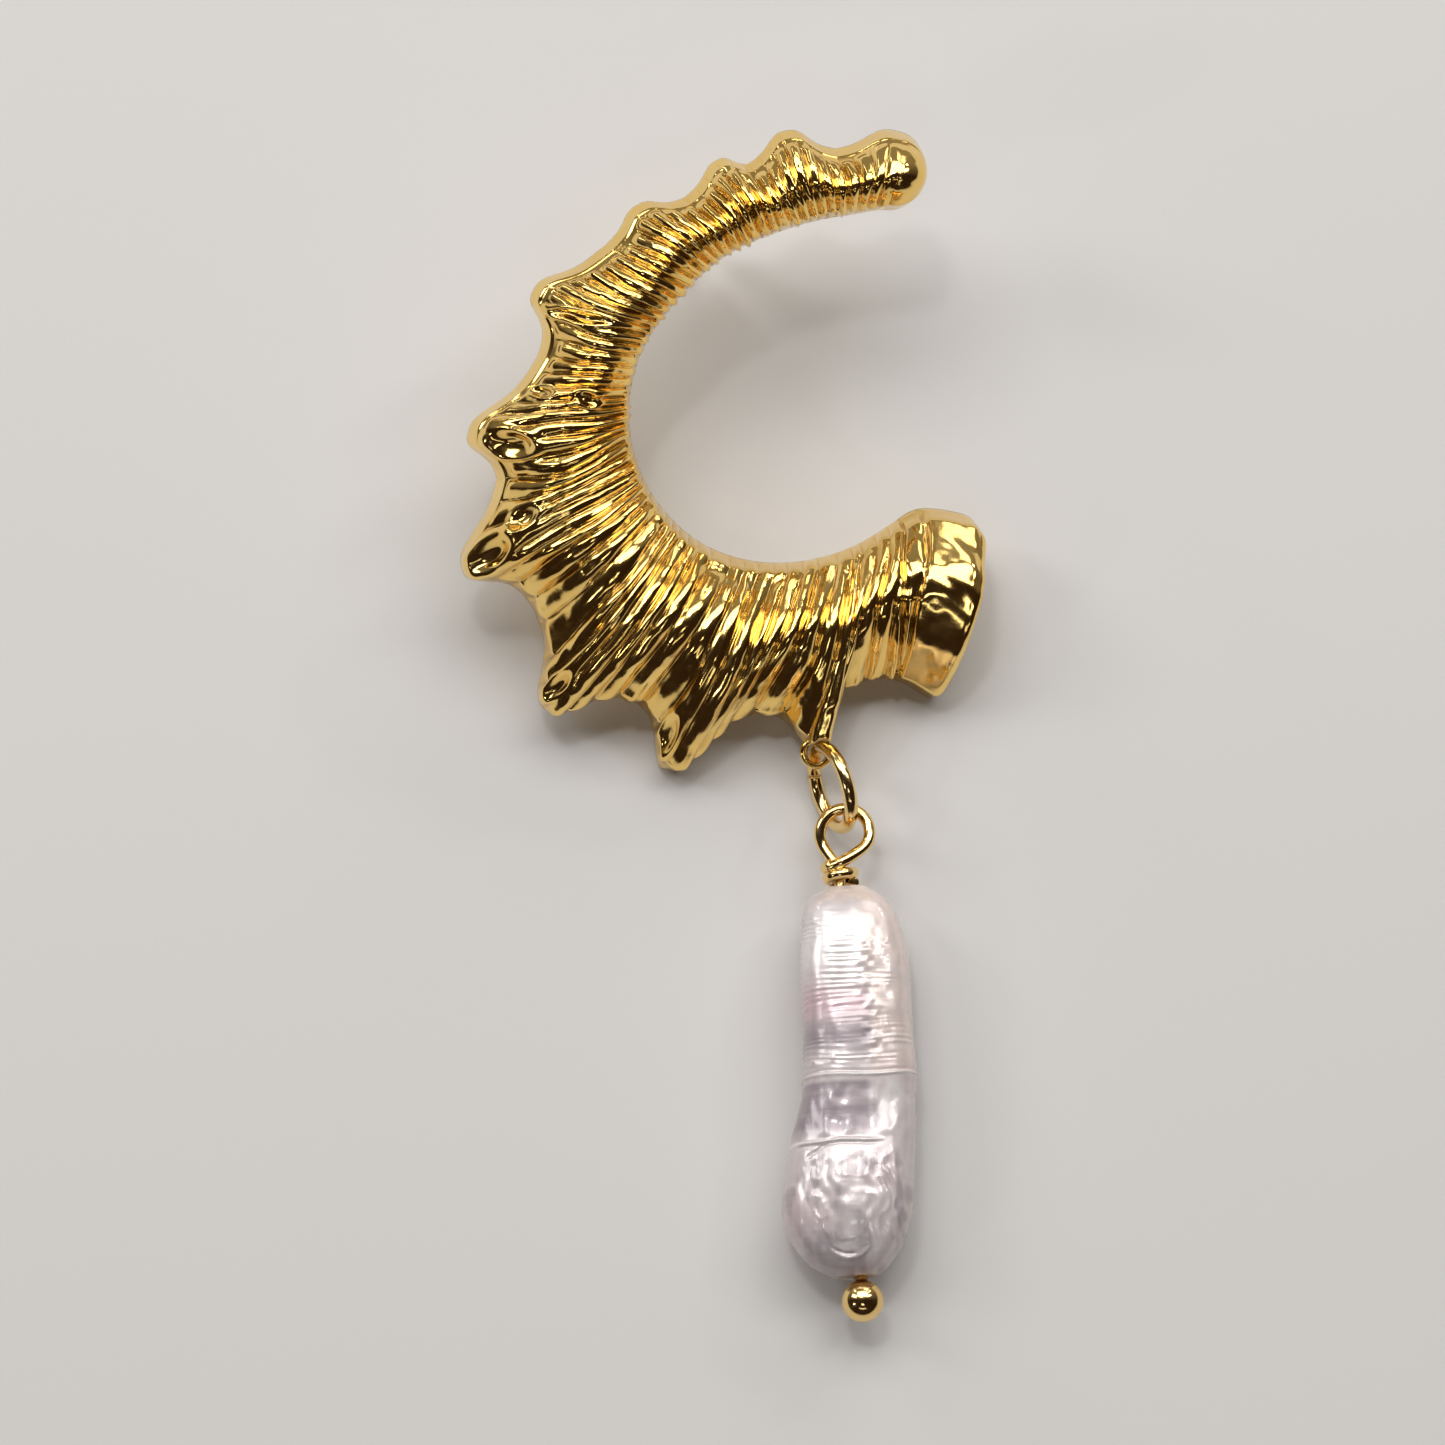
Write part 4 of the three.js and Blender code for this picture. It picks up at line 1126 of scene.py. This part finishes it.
def make_pearl(pin):
    share = np.linspace(0, 1, PEARL_ROWS)
    even = (1 - np.cos(share * math.pi)) / 2
    along = (PEARL_LENGTH * lerp(share, even, PEARL_CROWDING))[:, None]
    turn = angles(PEARL_SIDES)[None]
    flatness = lerp(PEARL_FLATNESS, PEARL_FRONT_FLATNESS, eased("flatter_top", np.sin(turn)))

    def rounded(value):
        return np.sign(value) * np.abs(value) ** (2 / flatness)

    sideways, upward = rounded(np.cos(turn)), rounded(np.sin(turn))
    half = np.where(sideways < 0, pearl_side(along, "left"), pearl_side(along, "right"))
    thick = np.where(upward < 0, pearl_side(along, "down"), pearl_side(along, "up"))
    x = sideways * half
    points = np.stack([x, PEARL_TOP - along + 0 * half, upward * thick], -1)
    front = eased("front_turn", np.sin(turn)) + 0 * along
    points = points + normals_of(points) * pearl_relief(x, along + 0 * x, front)[..., None]
    pearl = closed_rings("pearl_body", points, pin, NACRE)
    line = straight_path(PEARL_TOP + BORE_OVERRUN, PEARL_TOP - PEARL_LENGTH - BORE_OVERRUN)
    cut(pearl, "DIFFERENCE", wire_rings("bore", line, PEARL_BORE / 2), pin)
    own = carried(corners(pearl) / MM, pin.inverted())
    front = eased("front_depth", own[:, 2])
    for name, value in pearl_tones(own[:, 0], PEARL_TOP - own[:, 1], front).items():
        layer = pearl.data.attributes.new(name, "FLOAT", "POINT")
        layer.data.foreach_set("value", value.astype(np.float32))
    return pearl


# ---- Assembly ----

rest = rest_matrix()
eye_place = rest @ Vector(EYE_PLACE)
ring_place = ring_matrix(eye_place)
pin_place = pin_matrix(ring_place)
pieces = {
    "hoop": (make_hoop(rest, ring_place), "polished_gold"),
    "jump_ring": (make_ring(ring_place), "gold_wire"),
    "head_pin": (make_pin(pin_place), "gold_wire"),
    "pearl": (make_pearl(pin_place), "nacre"),
}

# The head pin is the same plain wire in both models, so its box says how far to move the
# pieces sideways. The lowest point of all is set on the floor.
pin_points = corners(pieces["head_pin"][0])
cad_pin_low, cad_pin_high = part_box("head_pin")
cad_ends = np.array(cad_pin_low) + np.array(cad_pin_high)
shift = (cad_ends - pin_points.min(0) - pin_points.max(0)) / 2
shift[2] = -min(corners(piece)[:, 2].min() for piece, _ in pieces.values())
for node, (piece, slot_name) in pieces.items():
    piece.data.transform(Matrix.Translation(shift))
    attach(piece, "root")
    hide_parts(node)

# ---- Floor, light and camera ----

centre = (cad_low + cad_high) / 2
FLOOR_HALF, FLOOR_COLOUR = 1200, (0.72, 0.71, 0.70, 1)  # half the side, in millimetres
WORLD_DARK, WORLD_LIGHT = (0.05, 0.03, 0.02, 1), (0.56, 0.51, 0.45, 1)
WORLD_LIGHT_AT, WORLD_STRENGTH = 0.85, 0.48
CAMERA = Named(elevation=77, field=0.070, lens=200, sensor=36, near=0.01, far=10)
LIGHT_DISTANCE = 0.5  # from the centre, in metres, as the camera's field and clipping are
# Azimuth is from +y, clockwise seen from above. Sizes are in metres, power in watts.
LIGHTS = named(("name", "azimuth", "elevation", "size", "power", "colour"), [
    ("overhead", 0, 62, (0.50, 0.26), 1.5, (1, 0.985, 0.965)),
    ("left_window", -68, 40, (0.10, 0.22), 0.40),
    ("right_window", 62, 48, (0.06, 0.16), 0.22),
    ("left_strip", -40, 22, (0.02, 0.20), 0.10),
    ("near_strip", 180, 36, (0.30, 0.025), 0.06),
    ("near_window", 178, 60, (0.10, 0.04), 0.06),
    ("far_window", 20, 28, (0.16, 0.16), 0.17),
    ("spot_a", -25, 74, (0.05, 0.04), 0.22),
    ("spot_b", 40, 30, (0.03, 0.03), 0.10),
    ("spot_c", -120, 35, (0.03, 0.05), 0.08),
])


def make_floor():
    n = Nodes("floor")
    n.set(Base_Color=FLOOR_COLOUR, Roughness=0.9)
    square = [(-1, -1, 0), (1, -1, 0), (1, 1, 0), (-1, 1, 0)]
    floor = make_object("floor", np.array(square) * FLOOR_HALF, [(0, 1, 2, 3)], n.material)


def aim(thing, direction, distance):
    """Puts a light or camera in a direction from the centre, looking back at it."""
    thing.location = centre + direction * distance
    thing.rotation_mode = "QUATERNION"
    thing.rotation_quaternion = direction.to_track_quat("Z", "Y")


def area_light(name, azimuth, elevation, size, power, colour=(1, 1, 1)):
    data = bpy.data.lights.new(name, "AREA")
    data.shape = "RECTANGLE"
    data.size, data.size_y = size
    data.energy, data.color = power, colour
    a, e = math.radians(azimuth), math.radians(elevation)
    direction = Vector((math.cos(e) * math.sin(a), math.cos(e) * math.cos(a), math.sin(e)))
    aim(linked(name, data), direction, LIGHT_DISTANCE)


def make_world():
    world = bpy.data.worlds.new("studio")
    world.use_nodes = True
    tree = world.node_tree
    background = tree.nodes["Background"]
    where = tree.nodes.new("ShaderNodeTexCoord")
    split = tree.nodes.new("ShaderNodeSeparateXYZ")
    tree.links.new(where.outputs["Generated"], split.inputs[0])
    shade = tree.nodes.new("ShaderNodeValToRGB")
    tree.links.new(split.outputs["Y"], shade.inputs["Fac"])
    dark, light = shade.color_ramp.elements
    dark.position, dark.color = 0.0, WORLD_DARK
    light.position, light.color = WORLD_LIGHT_AT, WORLD_LIGHT
    tree.links.new(shade.outputs["Color"], background.inputs["Color"])
    background.inputs["Strength"].default_value = WORLD_STRENGTH
    scene.world = world


def make_camera():
    data = bpy.data.cameras.new("camera")
    data.lens, data.sensor_width = CAMERA.lens, CAMERA.sensor
    data.clip_start, data.clip_end = CAMERA.near, CAMERA.far
    camera = linked("camera", data)
    elevation = math.radians(CAMERA.elevation)
    back = Vector((0, -math.cos(elevation), math.sin(elevation)))
    aim(camera, back, CAMERA.field * data.lens / data.sensor_width)
    scene.camera = camera


make_floor()
make_world()
make_camera()
for light in LIGHTS:
    area_light(**vars(light))
scene.view_settings.view_transform = "Standard"
